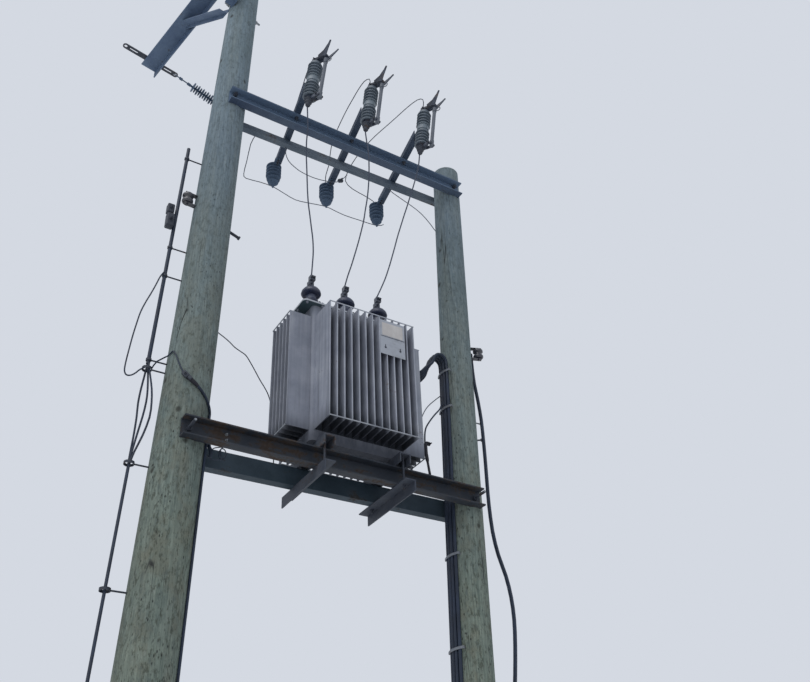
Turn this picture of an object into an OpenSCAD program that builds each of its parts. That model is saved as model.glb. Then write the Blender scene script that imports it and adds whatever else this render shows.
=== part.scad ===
// Pole mounted transformer on an H-pole.
// Two timber poles carry a steel platform with a finned oil tank, and above it
// two crossarms with three arms that hold fuse cutouts and surge arresters.
// X runs from the left pole to the right pole, Y away from the front, Z up.
// The origin is the centre of the left pole's base, at ground level.

/* [Poles] */
// Distance between the poles at ground level
pole_spacing = 2000; // [1600:10:2600]
// Lean of both poles towards the right, in degrees
pole_lean = 1.7; // [0:0.1:3]
// Height of the left pole's top above the line crossarm
left_top_rise = 400; // [250:10:800]
// Height of the right pole's top above the upper crossarms
right_top_rise = 210; // [150:10:800]
// Diameter of the left pole at ground level
left_base_d = 354; // [320:1:400]
// Diameter of the left pole at its top
left_top_d = 220; // [200:1:280]
// Diameter of the right pole at ground level
right_base_d = 272; // [262:1:340]
// Diameter of the right pole at its top
right_top_d = 216; // [200:1:250]
// Depth of the flat seats cut in the poles for the beams
seat_depth = 10; // [6:1:16]

/* [Beams] */
// Height of the platform beams' top above ground
platform_level = 4300; // [4000:10:4600]
// Height of the upper crossarms' top above ground
upper_level = 7190; // [6900:10:7300]
// Height of a channel beam
channel_h = 125; // [110:1:160]
// Width of a channel beam's flange
channel_w = 65; // [58:1:80]
// Thickness of a channel beam's web
channel_web = 6; // [5:0.5:9]
// Thickness of a channel beam's flange
channel_flange = 9; // [6:0.5:12]
// Length that a beam runs past each pole's axis
beam_overhang = 45; // [40:1:120]
// Leg of the far upper crossarm's angle section
far_arm_leg = 50; // [40:1:80]
// Thickness of the angle sections
angle_t = 6; // [5:0.5:8]
// Diameter of the bolts through the poles
bolt_d = 20; // [16:1:24]

/* [Tank] */
// Distance from the left pole's axis to the tank's centre, at the platform
tank_x = 1114; // [1060:1:1160]
// Length of the tank's body along the beams
tank_l = 700; // [660:1:760]
// Width of the tank's body across the beams
tank_w = 320; // [300:1:360]
// Height of the tank's body, from its floor to the lid
tank_h = 1035; // [980:5:1100]
// Radius of the tank's upright corners
tank_r = 30; // [20:1:50]
// Number of fins on each long side
long_fins = 13; // [11:1:13]
// Number of fins on each short side
short_fins = 6; // [5:1:6]
// Distance from one fin to the next
fin_pitch = 53; // [46:1:54]
// Thickness of a fin
fin_t = 9; // [7:0.5:12]
// Depth of the fins on the long sides
long_fin_depth = 200; // [160:1:220]
// Depth of the fins on the short sides
short_fin_depth = 155; // [120:1:170]
// Height of the fins
fin_h = 876; // [820:1:900]
// Height of the fins' lower ends above the platform beams
fin_bottom = 141; // [130:1:170]
// Diameter of the rods that tie the fins' tips
tie_rod_d = 8; // [6:0.5:12]
// Overhang of the lid past the body
lid_overhang = 80; // [40:1:90]
// Thickness of the lid
lid_t = 14; // [8:0.5:18]
// Width of the lid's flange at the front and back
lid_front = 30; // [20:1:50]
// Width of the blank rating plate
plate_w = 190; // [150:1:220]
// Height of the blank rating plate
plate_h = 275; // [200:1:320]
// Thickness of the rating plate
plate_t = 3; // [2:0.5:5]
// Distance of the rating plate's middle from the tank's centre
plate_x = 149; // [100:1:200]
// Distance of the rating plate below the fins' top
plate_drop = 28; // [20:1:60]

/* [Seat and clamps] */
// Width of a skid channel
skid_w = 80; // [70:1:100]
// Height of a skid channel
skid_h = 65; // [55:1:80]
// Length of a skid channel
skid_l = 540; // [500:5:620]
// Distance between the skids
skid_spacing = 535; // [500:1:560]
// Distance of a clamp rod from its skid's middle
rod_shift = 12; // [0:1:16]
// Leg of a clamp angle
clamp_leg = 75; // [65:1:90]
// Length of a clamp angle
clamp_l = 600; // [560:5:680]
// Thickness of the clamp angles and the skids
clamp_t = 8; // [6:0.5:10]
// Diameter of a clamp rod
clamp_rod_d = 14; // [10:1:16]

/* [Bushings] */
// Distance between the high voltage bushings
bushing_pitch = 265; // [240:1:280]
// Distance from the tank's centre to the middle high voltage bushing
bushing_shift = -70; // [-80:1:-20]
// Distance of the high voltage bushings in front of the tank's centre
bushing_front = 95; // [80:1:105]
// Diameter of a high voltage bushing's shed
bushing_shed_d = 140; // [110:1:150]
// Height of a high voltage bushing's porcelain above the lid
bushing_h = 185; // [150:1:210]
// Height of a high voltage bushing's connector above the porcelain
connector_h = 112; // [90:1:130]
// Distance between the low voltage bushings
lv_pitch = 130; // [110:1:140]
// Distance of the low voltage bushings behind the tank's centre
lv_back = 95; // [80:1:105]

/* [Fuse arms] */
// Distance from one fuse arm to the next
arm_pitch = 490; // [440:1:540]
// Distance from the middle of the crossarms to the middle arm
arm_shift = 15; // [-40:1:60]
// Length of a fuse arm
arm_l = 880; // [800:5:1000]
// Leg of a fuse arm's angle section
arm_leg = 50; // [45:1:65]
// Turn of the fuse arms seen from above, in degrees
arm_turn = 9.5; // [0:0.5:12]

/* [Fuse cutouts] */
// Length of a cutout's porcelain
porcelain_l = 360; // [330:1:400]
// Diameter of a cutout's sheds
porcelain_d = 112; // [100:1:120]
// Diameter of a cutout's porcelain between the sheds
porcelain_core_d = 84; // [70:1:90]
// Distance from the porcelain's axis to the fuse tube's axis
tube_offset = 96; // [92:1:125]
// Diameter of the fuse tube
tube_d = 28; // [22:1:32]
// Lean of the cutouts towards the front, in degrees
cutout_lean = 8; // [0:1:20]
// Turn of the cutouts from the front towards the right, in degrees
cutout_turn = 27; // [0:1:35]
// Diameter of the fuse carrier's hinge pin
hinge_pin_d = 12; // [10:0.5:14]
// Clearance round the hinge pin
hinge_clearance = 0.4; // [0.2:0.1:0.8]

/* [Arresters] */
// Diameter of an arrester's largest shed
arrester_d = 125; // [95:1:130]
// Height of an arrester's body
arrester_h = 245; // [200:1:260]

/* [Line crossarm] */
// Height of the line crossarm's underside above ground
line_level = 8900; // [8700:10:9100]
// Length of the line crossarm
line_arm_l = 2840; // [2400:10:3000]
// Width of the line crossarm's flat leg
line_arm_w = 150; // [125:1:180]
// Depth of the line crossarm's upright leg
line_arm_drop = 90; // [80:1:110]
// Thickness of the line crossarm's legs
line_arm_t = 10; // [8:0.5:12]
// Turn of the line crossarm seen from above, in degrees
line_arm_turn = 10.5; // [0:0.5:12]
// Distance from the pole to a brace's outer end
brace_reach = 700; // [500:10:800]
// Height of a brace
brace_drop = 590; // [500:10:800]
// Leg of a brace's angle section
brace_leg = 75; // [50:1:90]
// Reach of a strap past each edge of the line crossarm
strap_reach = 212; // [160:1:240]
// Width of a strap
strap_w = 54; // [45:1:60]
// Length of a line insulator from its eye to its clamp
string_l = 560; // [500:10:620]
// Diameter of a line insulator's sheds
string_d = 100; // [80:1:120]

/* [Cables] */
// Diameter of the high voltage leads
hv_lead_d = 10; // [8:0.5:14]
// Diameter of the low voltage cables
lv_cable_d = 22; // [18:0.5:23]
// Height of the low voltage cables' top on the right pole
lv_top = 5300; // [5300:1:5302]
// Diameter of the main cable on the left pole
trunk_d = 24; // [18:0.5:28]
// Diameter of the single cores on the left pole
core_d = 12; // [8:0.5:14]
// Diameter of the bare wires
wire_d = 7; // [5:0.5:9]
// Diameter of the tap cable round the left pole's front
tap_d = 9; // [7:0.5:12]
// Distance of the cables from the left pole's face
clip_reach = 112; // [106:1:118]
// Diameter of a cable clip's rod
clip_rod_d = 10; // [8:0.5:12]

/* [Hidden] */
fine = 48;
round_fn = 24;
eps = 0.01;
lean_rate = tan(pole_lean);
left_pole_height = line_level + left_top_rise;
right_pole_height = upper_level + right_top_rise;
seat_gap = 2;
nut_h = 16;
bolt_tail = 12;
washer_t = 4;
hole_gap = 2;
bolt_reach = 600;
tank_cx = left_x(platform_level) + tank_x;
tank_cy = 15;
tank_floor = platform_level + skid_h;
tank_top = tank_floor + tank_h;
lid_top = tank_top + lid_t;
wall_t = 3;
rod_front = 205;
flange_w = 116;
lv_bushing_h = 130;
crossarm_middle = left_x(upper_level) + pole_spacing / 2;
cutout_reach = 70;
arm_far_cut = 45;
arrester_rise = 35;
cutout_side = 22;
cap_h = 14;
band_h = 44;
cheek_gap = 38;
cheek_t = 5;
terminal_h = 68;
hinge_z = -(porcelain_l / 2 + cap_h + 6);

// Points that the leads follow from the cutouts' lower terminals to the bushings.
hv_routes = [
    [[655, -466, 6948], [670, -445, 6860], [690, -410, 6775], [705, -365, 6685], [725, -325, 6595],
        [745, -295, 6510], [765, -265, 6420], [785, -235, 6335], [805, -212, 6245], [830, -190, 6155],
        [855, -168, 6065], [880, -145, 5975], [897, -120, 5885], [905, -95, 5800], [907, -80, 5711]],
    [[1145, -466, 6948], [1165, -450, 6855], [1190, -430, 6770], [1210, -400, 6680], [1225, -370, 6590],
        [1235, -340, 6500], [1240, -310, 6410], [1240, -280, 6325], [1240, -250, 6235], [1233, -220, 6145],
        [1225, -190, 6060], [1213, -160, 5970], [1200, -130, 5880], [1185, -100, 5795], [1172, -80, 5711]],
    [[1635, -466, 6948], [1637, -440, 6850], [1632, -405, 6760], [1622, -370, 6670], [1610, -335, 6585],
        [1595, -305, 6495], [1580, -275, 6410], [1565, -245, 6320], [1550, -220, 6235], [1537, -195, 6145],
        [1523, -170, 6055], [1507, -147, 5965], [1488, -122, 5875], [1463, -100, 5790], [1437, -80, 5711]]];
// Points of the jumpers from the cutouts to the arresters, from the crossarms' middle and top.
jumper_routes = [
    [[-538, -500, 210], [-541, -430, 225], [-531, -355, 215], [-518, -285, 200], [-508, -210, 180],
        [-495, -140, 165], [-483, -65, 150], [-471, 10, 135], [-461, 80, 115], [-451, 155, 100],
        [-441, 235, 85], [-428, 310, 85], [-417, 380, 85], [-411, 430, 72], [-416, 459, 46]],
    [[-48, -500, 210], [-45, -520, 260], [-58, -530, 295], [-75, -480, 310], [-83, -400, 295],
        [-83, -310, 278], [-83, -220, 258], [-79, -130, 238], [-73, -40, 215], [-65, 50, 190],
        [-48, 135, 160], [-18, 220, 130], [12, 300, 110], [30, 385, 88], [52, 435, 72], [74, 459, 46]],
    [[442, -500, 210], [444, -535, 260], [432, -550, 315], [405, -510, 335], [367, -415, 320],
        [332, -300, 298], [294, -180, 275], [257, -65, 252], [227, 55, 222], [207, 175, 190],
        [199, 290, 145], [215, 380, 100], [307, 425, 88], [437, 440, 78], [527, 455, 70], [564, 459, 46]]];
// Points of the bare earth wires: the link, the chain, the right pole's wire and two tails by the tank.
earth_routes = [
    [[765, 150, 7142], [772, 165, 7085], [820, 212, 7072], [880, 245, 7072], [945, 275, 7080],
        [1010, 295, 7090], [1080, 310, 7102], [1150, 318, 7116], [1220, 322, 7135], [1290, 325, 7160],
        [1350, 326, 7205], [1418, 332, 7312]],
    [[501, 160, 7144], [485, 200, 7080], [500, 300, 6985], [520, 400, 6950], [560, 450, 6960],
        [680, 459, 6985], [797, 459, 6988], [900, 459, 6960], [1000, 459, 6935], [1100, 459, 6950],
        [1200, 459, 6972], [1287, 459, 6988], [1370, 459, 6978], [1465, 459, 6968], [1600, 459, 6975],
        [1777, 459, 6988], [1845, 459, 7030]],
    [[1718, 140, 7142], [1730, 142, 7110], [1830, 150, 7080], [1935, 152, 7045], [2030, 142, 6985],
        [2110, 130, 6890], [2180, 127, 6800], [2250, 110, 6735], [2287, 74, 6700]],
    [[2030, 40, 5105], [1985, 20, 5060], [1935, 10, 5010], [1885, 5, 4955], [1845, 0, 4895],
        [1815, 0, 4825], [1800, 0, 4750], [1798, 20, 4660], [1790, 60, 4560], [1785, 120, 4440],
        [1780, 160, 4300]],
    [[2022, 20, 5020], [1982, -14, 4970], [1945, -42, 4915], [1890, -58, 4850], [1830, -65, 4765],
        [1795, -75, 4700], [1775, -90, 4610], [1765, -110, 4500], [1760, -135, 4390], [1758, -155, 4300]]];
// Points of the low voltage tails from the lid's bushings to the right pole's cables.
lv_routes = [
    [[1047, 116, 5524], [1049, 210, 5526], [1065, 267, 5528], [1104, 301, 5528], [1157, 310, 5530],
        [1261, 310, 5529], [1366, 310, 5527], [1496, 310, 5526], [1572, 308, 5500], [1612, 304, 5448],
        [1676, 300, 5378], [1731, 296, 5308], [1783, 280, 5250], [1823, 238, 5219], [1863, 178, 5211],
        [1899, 120, 5232], [1926, 82, 5273], [1930, 58, 5324], [1939, 44, 5370], [1959, 39, 5395],
        [1983, 37, 5402], [2008, 36, 5395], [2028, 36, 5370], [2033, 36, 5335], [2033, 36, 5300]],
    [[1177, 116, 5524], [1179, 183, 5526], [1195, 240, 5528], [1234, 274, 5528], [1287, 283, 5530],
        [1378, 283, 5529], [1488, 283, 5526], [1566, 281, 5500], [1606, 277, 5448], [1662, 273, 5386],
        [1717, 269, 5316], [1769, 253, 5258], [1809, 211, 5227], [1849, 151, 5219], [1886, 93, 5240],
        [1915, 55, 5279], [1926, 31, 5324], [1935, 17, 5370], [1955, 12, 5395], [1979, 10, 5402],
        [2004, 9, 5395], [2024, 9, 5370], [2029, 9, 5335], [2029, 9, 5300]],
    [[1307, 116, 5524], [1309, 156, 5526], [1325, 213, 5528], [1364, 247, 5528], [1417, 256, 5530],
        [1482, 256, 5526], [1558, 254, 5500], [1598, 250, 5448], [1648, 246, 5394], [1703, 242, 5324],
        [1755, 226, 5266], [1795, 184, 5235], [1835, 124, 5227], [1874, 66, 5248], [1903, 28, 5286],
        [1926, 4, 5324], [1935, -10, 5370], [1955, -15, 5395], [1979, -17, 5402], [2004, -18, 5395],
        [2024, -18, 5370], [2029, -18, 5335], [2029, -18, 5300]],
    [[1437, 116, 5524], [1439, 136, 5526], [1455, 186, 5528], [1494, 220, 5528], [1536, 228, 5518],
        [1574, 228, 5480], [1634, 219, 5402], [1689, 215, 5332], [1741, 199, 5274], [1781, 157, 5243],
        [1821, 97, 5235], [1861, 39, 5256], [1892, 1, 5292], [1927, -22, 5324], [1941, -36, 5370],
        [1961, -41, 5395], [1985, -43, 5402], [2010, -44, 5395], [2030, -44, 5370], [2035, -44, 5335],
        [2035, -44, 5300]]];
// Points of the free tap cable at the left pole, and of its run round the pole's front.
tap_route = [[-100, -8, 5398], [-122, -16, 5345], [-142, -21, 5270], [-165, -25, 5190], [-190, -28, 5110],
    [-212, -30, 5025], [-226, -33, 4930], [-238, -35, 4830], [-247, -38, 4730], [-254, -40, 4640],
    [-254, -40, 4580], [-240, -38, 4555], [-214, -36, 4560], [-188, -33, 4585], [-166, -26, 4618],
    [-136, -14, 4652]];
// Points of the thin earth lead from the left pole to the far platform beam.
lead_route = [[285, 50, 5120], [330, 85, 5120], [375, 100, 5110], [415, 105, 5090], [455, 108, 5062],
    [495, 110, 5045], [540, 118, 5030], [580, 128, 4990], [620, 140, 4945], [660, 150, 4895],
    [700, 158, 4850], [735, 166, 4800], [762, 172, 4720], [780, 174, 4620], [790, 174, 4500],
    [794, 174, 4400], [795, 174, 4300]];
// Points of the two outer cores between the left pole's clips, where they bulge apart.
core_routes = [
    [[-116, 13, 4690], [-123, 16, 4600], [-131, 18, 4510], [-135, 18, 4420], [-132, 16, 4320],
        [-134, 15, 4200], [-139, 14, 4090], [-141, 13, 4013]],
    [[-116, 0, 4690], [-106, -5, 4600], [-98, -8, 4510], [-96, -8, 4430], [-104, -6, 4330],
        [-120, -3, 4210], [-135, -1, 4090], [-141, 0, 4013]],
    [[-116, -13, 4690], [-98, -22, 4600], [-80, -28, 4510], [-70, -28, 4420], [-70, -28, 4320],
        [-93, -22, 4200], [-125, -16, 4090], [-141, -13, 4013]]];
trunk_top = 6560;
trunk_end = 4690;
core_level = 4013;
left_clips = [6455, 5615, 5375, 4720, 4655, 4023, 3300, 2500, 1700, 900];
right_clips = [5270, 4960, 3850, 3250, 2600, 1900, 1200, 500];
riser_gap = 1;
riser_azimuths = [164, 176, 188, 200];
// Steps of the thick part of the tap cable round the front of the left pole.
joint_steps = 10;
joint_start = [4585, -112];
joint_end = [4415, -25];
joint_d = 16;
spool_reach = 60;
left_spool_level = 6075;
right_spool_level = 5500;
earth_top = 6700;
jumper_arm_l = 880;
clip_depth = 20;
tube_sides = 8;
tube_steps = 2;
string_places = [85 - line_arm_l / 2, line_arm_l / 2 - 85];
strap_shift = 22;
clip_w = 16;
brace_gap = 8;
// Points of the cable on the right pole's other side, from that pole's base.
side_route = [[305, 0, 5530], [306, 0, 5400], [312, 0, 5260], [330, 0, 5110], [342, 0, 4950],
    [343, 0, 4780], [341, 0, 4620], [337, 0, 4460], [334, 0, 4290], [342, 0, 4090], [370, 0, 3930],
    [415, 0, 3790], [440, 0, 3650], [445, 0, 3500], [430, 0, 3330], [405, 0, 3150], [375, 0, 2960],
    [330, 0, 2600], [290, 0, 2100], [270, 0, 1500], [260, 0, 800], [255, 0, 3]];
side_clips = [4935, 2960, 2100, 1200, 400];

steel = [0.24, 0.24, 0.25];
galvanised = [0.42, 0.43, 0.44];
tank_grey = [0.45, 0.46, 0.48];
timber = [0.42, 0.45, 0.40];
dark = [0.08, 0.07, 0.07];
porcelain_grey = [0.45, 0.47, 0.48];

function left_x(z) = z * lean_rate;
function right_x(z) = pole_spacing + z * lean_rate;
function left_r(z) = (left_base_d + (left_top_d - left_base_d) * z / left_pole_height) / 2;
function right_r(z) = (right_base_d + (right_top_d - right_base_d) * z / right_pole_height) / 2;
function beam_turn(z) = atan((left_r(z) - right_r(z)) / pole_spacing);

// Beams lie on flat seats, so each pair follows the poles' own taper in plan.
module at_near(z) {
    translate([left_x(z), -(left_r(z) - seat_depth), z])
        rotate([0, 0, beam_turn(z)])
            children();
}

module at_far(z) {
    translate([left_x(z), left_r(z) - seat_depth, z])
        rotate([0, 0, -beam_turn(z)])
            children();
}

// Profiles are drawn in the Y and Z plane and run along X.
module along_x(length) {
    rotate([90, 0, 90])
        linear_extrude(height = length)
            children();
}

module channel_profile(h, w, web, flange) {
    polygon([[0, 0], [-w, 0], [-w, -flange], [-web, -flange], [-web, flange - h], [-w, flange - h],
        [-w, -h], [0, -h]]);
}

module angle_profile(a, b, t) {
    polygon([[0, 0], [0, -a], [b, -a], [b, t - a], [t, t - a], [t, 0]]);
}

module leaning_cone(base_d, top_d, height) {
    slope = (top_d - base_d) / height;
    intersection() {
        rotate([0, pole_lean, 0])
            translate([0, 0, -100])
                cylinder(h = height + 100, d1 = base_d - 100 * slope, d2 = top_d, $fn = fine);
        translate([-height, -height, 0])
            cube(2 * height);
    }
}

module beam_seats() {
    reach = 400;
    for (side = [0, 1]) {
        level = side == 0 ? platform_level : upper_level;
        far_h = side == 0 ? channel_h : far_arm_leg;
        at_near(level)
            translate([-reach, -reach, -channel_h - seat_gap])
                cube([pole_spacing + 2 * reach, reach, channel_h + 2 * seat_gap]);
        at_far(level)
            translate([-reach, 0, -far_h - seat_gap])
                cube([pole_spacing + 2 * reach, reach, far_h + 2 * seat_gap]);
    }
}

function bolt_z(level) = level == platform_level ? level - channel_h / 2 : level - far_arm_leg / 2 - 2;

module bolt_lines(d, length) {
    for (level = [platform_level, upper_level]) {
        for (x = [left_x(level), right_x(level)]) {
            translate([x, 0, bolt_z(level)])
                rotate([90, 0, 0])
                    cylinder(h = length, d = d, center = true, $fn = round_fn);
        }
    }
}

module left_pole() {
    color(timber)
        difference() {
            leaning_cone(left_base_d, left_top_d, left_pole_height);
            beam_seats();
            line_seat();
            bolt_lines(bolt_d + hole_gap, bolt_reach);
        }
}

module right_pole() {
    color(timber)
        difference() {
            translate([pole_spacing, 0, 0])
                leaning_cone(right_base_d, right_top_d, right_pole_height);
            beam_seats();
            bolt_lines(bolt_d + hole_gap, bolt_reach);
        }
}

module channel_beam() {
    translate([-beam_overhang, 0, 0])
        along_x(pole_spacing + 2 * beam_overhang)
            channel_profile(channel_h, channel_w, channel_web, channel_flange);
}

module platform_beam_near() {
    color(steel)
        difference() {
            at_near(platform_level)
                channel_beam();
            bolt_lines(bolt_d + hole_gap, bolt_reach);
        }
}

module platform_beam_far() {
    color(steel)
        difference() {
            at_far(platform_level)
                mirror([0, 1, 0])
                    channel_beam();
            bolt_lines(bolt_d + hole_gap, bolt_reach);
        }
}

module upper_crossarm_near() {
    color(steel)
        difference() {
            at_near(upper_level)
                channel_beam();
            bolt_lines(bolt_d + hole_gap, bolt_reach);
        }
}

module upper_crossarm_far() {
    color(steel)
        difference() {
            at_far(upper_level)
                translate([-beam_overhang, 0, 0])
                    along_x(pole_spacing + 2 * beam_overhang)
                        angle_profile(far_arm_leg, far_arm_leg, angle_t);
            bolt_lines(bolt_d + hole_gap, bolt_reach);
        }
}

// One bolt holds each pair of beams at each pole, with a nut and a washer at both ends.
module bolt_end(z, seat_t) {
    translate([0, -seat_t, z])
        rotate([90, 0, 0]) {
            cylinder(h = washer_t, d = bolt_d * 1.6, $fn = round_fn);
            translate([0, 0, washer_t])
                cylinder(h = nut_h, d = bolt_d * 1.7, $fn = 6);
        }
}

module pole_bolt(level, x, half, far_t) {
    tail = washer_t + nut_h + bolt_tail;
    translate([left_x(level) + x, 0, bolt_z(level)])
        rotate([90, 0, 0])
            translate([0, 0, -half - far_t - tail])
                cylinder(h = 2 * (half + tail) + channel_web + far_t, d = bolt_d, $fn = round_fn);
    at_near(level)
        translate([x, 0, 0])
            bolt_end(bolt_z(level) - level, channel_web);
    at_far(level)
        translate([x, 0, 0])
            mirror([0, 1, 0])
                bolt_end(bolt_z(level) - level, far_t);
}

module pole_bolts() {
    color(galvanised) {
        line_bolt();
        for (level = [platform_level, upper_level]) {
            far_t = level == platform_level ? channel_web : angle_t;
            pole_bolt(level, 0, left_r(level) - seat_depth, far_t);
            pole_bolt(level, pole_spacing, right_r(level) - seat_depth, far_t);
        }
    }
}

module upright_box(l, w, h, r) {
    translate([-l / 2, r - w / 2, 0])
        cube([l, w - 2 * r, h]);
    translate([r - l / 2, -w / 2, 0])
        cube([l - 2 * r, w, h]);
    for (x = [r - l / 2, l / 2 - r]) {
        for (y = [r - w / 2, w / 2 - r]) {
            translate([x, y, 0])
                cylinder(h = h, r = r, $fn = fine);
        }
    }
}

module tank_body() {
    color(tank_grey)
        translate([tank_cx, tank_cy, tank_floor])
            upright_box(tank_l, tank_w, tank_h, tank_r);
}

// The lid stands out past the walls all round.
module tank_lid() {
    color(tank_grey)
        translate([tank_cx, tank_cy, tank_top])
            upright_box(tank_l + 2 * lid_overhang, tank_w + 2 * lid_front, lid_t, tank_r);
}

// A fin stands out along -Y from the wall at y = 0 and is rounded at its tip.
module fin(depth) {
    translate([-fin_t / 2, fin_t / 2 - depth, 0])
        cube([fin_t, depth - fin_t / 2, fin_h]);
    translate([0, fin_t / 2 - depth, 0])
        cylinder(h = fin_h, d = fin_t, $fn = 16);
}

module fin_bank(count, depth) {
    span = (count - 1) * fin_pitch;
    translate([-span / 2 - fin_t, -wall_t, 0])
        cube([span + 2 * fin_t, wall_t, fin_h]);
    for (i = [0 : count - 1]) {
        translate([i * fin_pitch - span / 2, 0, 0])
            fin(depth);
    }
    for (z = [tie_rod_d / 2, fin_h - tie_rod_d / 2]) {
        translate([-span / 2 - fin_t / 2, -depth, z])
            rotate([0, 90, 0])
                cylinder(h = span + fin_t, d = tie_rod_d, $fn = 12);
    }
}

module bank_at(turn, offset) {
    translate([tank_cx, tank_cy, platform_level + fin_bottom])
        rotate([0, 0, turn])
            translate([0, -offset, 0])
                children();
}

module fin_bank_near() {
    color(tank_grey)
        bank_at(0, tank_w / 2)
            fin_bank(long_fins, long_fin_depth);
}

module fin_bank_far() {
    color(tank_grey)
        bank_at(180, tank_w / 2)
            fin_bank(long_fins, long_fin_depth);
}

module fin_bank_left() {
    color(tank_grey)
        bank_at(-90, tank_l / 2)
            fin_bank(short_fins, short_fin_depth);
}

module fin_bank_right() {
    color(tank_grey)
        bank_at(90, tank_l / 2)
            fin_bank(short_fins, short_fin_depth);
}

module rating_plate() {
    color([0.7, 0.71, 0.72])
        bank_at(0, tank_w / 2 + long_fin_depth + plate_t)
            translate([plate_x - plate_w / 2, 0, fin_h - plate_drop - plate_h])
                cube([plate_w, plate_t, plate_h]);
}

// Each skid is an upturned channel that rests on both beams.
module skid(side) {
    rod_x = side * rod_shift;
    difference() {
        translate([-skid_w / 2, -skid_l / 2, 0])
            cube([skid_w, skid_l, skid_h]);
        translate([clamp_t - skid_w / 2, -skid_l, -1])
            cube([skid_w - 2 * clamp_t, 2 * skid_l, skid_h - clamp_t + 1]);
        for (y = [-rod_front, rod_front]) {
            translate([rod_x, y - tank_cy, 0])
                cylinder(h = skid_h + 1, d = clamp_rod_d + hole_gap, $fn = round_fn);
        }
    }
}

module skid_at(side) {
    translate([tank_cx + side * skid_spacing / 2, tank_cy, platform_level])
        children();
}

module skids() {
    color(steel)
        for (side = [-1, 1]) {
            skid_at(side)
                skid(side);
        }
}

// The clamp angles lie under both beams, with their upright legs outside.
module clamp_angle(side) {
    mirror([side > 0 ? 1 : 0, 0, 0])
        translate([-clamp_leg * 2 / 3, 0, -channel_h])
            difference() {
                union() {
                    translate([0, -clamp_l / 2, -clamp_t])
                        cube([clamp_leg, clamp_l, clamp_t]);
                    translate([0, -clamp_l / 2, -clamp_leg])
                        cube([clamp_t, clamp_l, clamp_leg]);
                }
                for (y = [-rod_front, rod_front]) {
                    translate([clamp_leg * 2 / 3 - rod_shift, y - tank_cy, -clamp_t - 1])
                        cylinder(h = clamp_t + 2, d = clamp_rod_d + hole_gap, $fn = round_fn);
                }
            }
}

module clamp_angles() {
    color(steel)
        for (side = [-1, 1]) {
            skid_at(side)
                clamp_angle(side);
        }
}

module clamp_rods() {
    nut = clamp_rod_d * 0.8;
    low = -channel_h - clamp_t;
    color(galvanised)
        for (side = [-1, 1]) {
            for (y = [-rod_front, rod_front]) {
                skid_at(side)
                    translate([side * rod_shift, y - tank_cy, 0]) {
                        translate([0, 0, low - nut - 15])
                            cylinder(h = skid_h - clamp_t - low + nut + 15, d = clamp_rod_d, $fn = round_fn);
                        translate([0, 0, low - nut])
                            cylinder(h = nut, d = clamp_rod_d * 1.7, $fn = 6);
                        translate([0, 0, skid_h - clamp_t - nut])
                            cylinder(h = nut, d = clamp_rod_d * 1.7, $fn = 6);
                    }
            }
        }
}

// A flange block, a neck and one flat dome carry a stud with a two lump connector.
module hv_bushing() {
    r = bushing_shed_d / 2;
    neck = bushing_h - 76;
    translate([-flange_w / 2, -flange_w / 2, 0])
        cube([flange_w, flange_w, 30]);
    rotate_extrude($fn = fine)
        polygon([[0, 30], [40, 30], [36, 40], [35, neck], [r - 14, neck + 2], [r - 3, neck + 8],
            [r, neck + 16],
            [r - 4, neck + 34], [r - 16, neck + 52], [r * 0.5, neck + 66], [24, neck + 70], [18, bushing_h],
            [8, bushing_h], [8, bushing_h + connector_h], [0, bushing_h + connector_h]]);
    translate([-26, -15, bushing_h + 8])
        cube([40, 30, 34]);
    translate([-14, -19, bushing_h + connector_h - 52])
        cube([38, 38, 40]);
}

module hv_bushings() {
    color(dark)
        for (i = [-1 : 1]) {
            translate([tank_cx + bushing_shift + i * bushing_pitch, tank_cy - bushing_front, lid_top])
                hv_bushing();
        }
}

module lv_bushing() {
    rotate_extrude($fn = fine)
        polygon([[0, 0], [30, 0], [30, 14], [22, 18], [22, 30], [34, 36], [32, 44], [22, 50], [22, 60],
            [30, 66], [26, 74], [12, 80], [7, 82], [7, lv_bushing_h], [0, lv_bushing_h]]);
}

module lv_bushings() {
    color(dark)
        for (i = [-1.5, -0.5, 0.5, 1.5]) {
            translate([tank_cx + i * lv_pitch, tank_cy + lv_back, lid_top])
                lv_bushing();
        }
}

module arm_at(i) {
    translate([crossarm_middle + arm_shift + (i - 2) * arm_pitch, 0, upper_level])
        rotate([0, 0, -arm_turn])
            children();
}

// The arm's flat leg lies on both crossarms, and its upright leg is on the left.
module fuse_arms() {
    color(steel)
        for (i = [1 : 3]) {
            arm_at(i)
                translate([-arm_leg / 2, -arm_l / 2, 0]) {
                    cube([arm_leg, arm_l - arm_far_cut, angle_t]);
                    cube([angle_t, arm_l - arm_far_cut, arm_leg]);
                }
        }
}

module cutout_frame(i) {
    arm_at(i)
        translate([cutout_side, -arm_l / 2 - cutout_reach, angle_t + 4])
            rotate([0, 0, arm_turn + cutout_turn])
                rotate([cutout_lean, 0, 0])
                    children();
}

module shed(z, r) {
    translate([0, 0, z])
        cylinder(h = 7, r1 = r, r2 = r - 3, $fn = fine);
    translate([0, 0, z + 7])
        cylinder(h = 11, r1 = r - 3, r2 = porcelain_core_d / 2, $fn = fine);
}

module cutout_porcelain() {
    half = porcelain_l / 2;
    shed_pitch = (half - band_h / 2 - 8) / 5;
    translate([0, 0, -half])
        cylinder(h = porcelain_l, d = porcelain_core_d, $fn = fine);
    for (k = [0 : 4]) {
        shed(band_h / 2 + 2 + k * shed_pitch, porcelain_d / 2);
        shed(-half + 4 + k * shed_pitch, porcelain_d / 2);
    }
    translate([0, 0, -band_h / 2])
        cylinder(h = band_h, d = porcelain_core_d + 10, $fn = fine);
}

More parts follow.
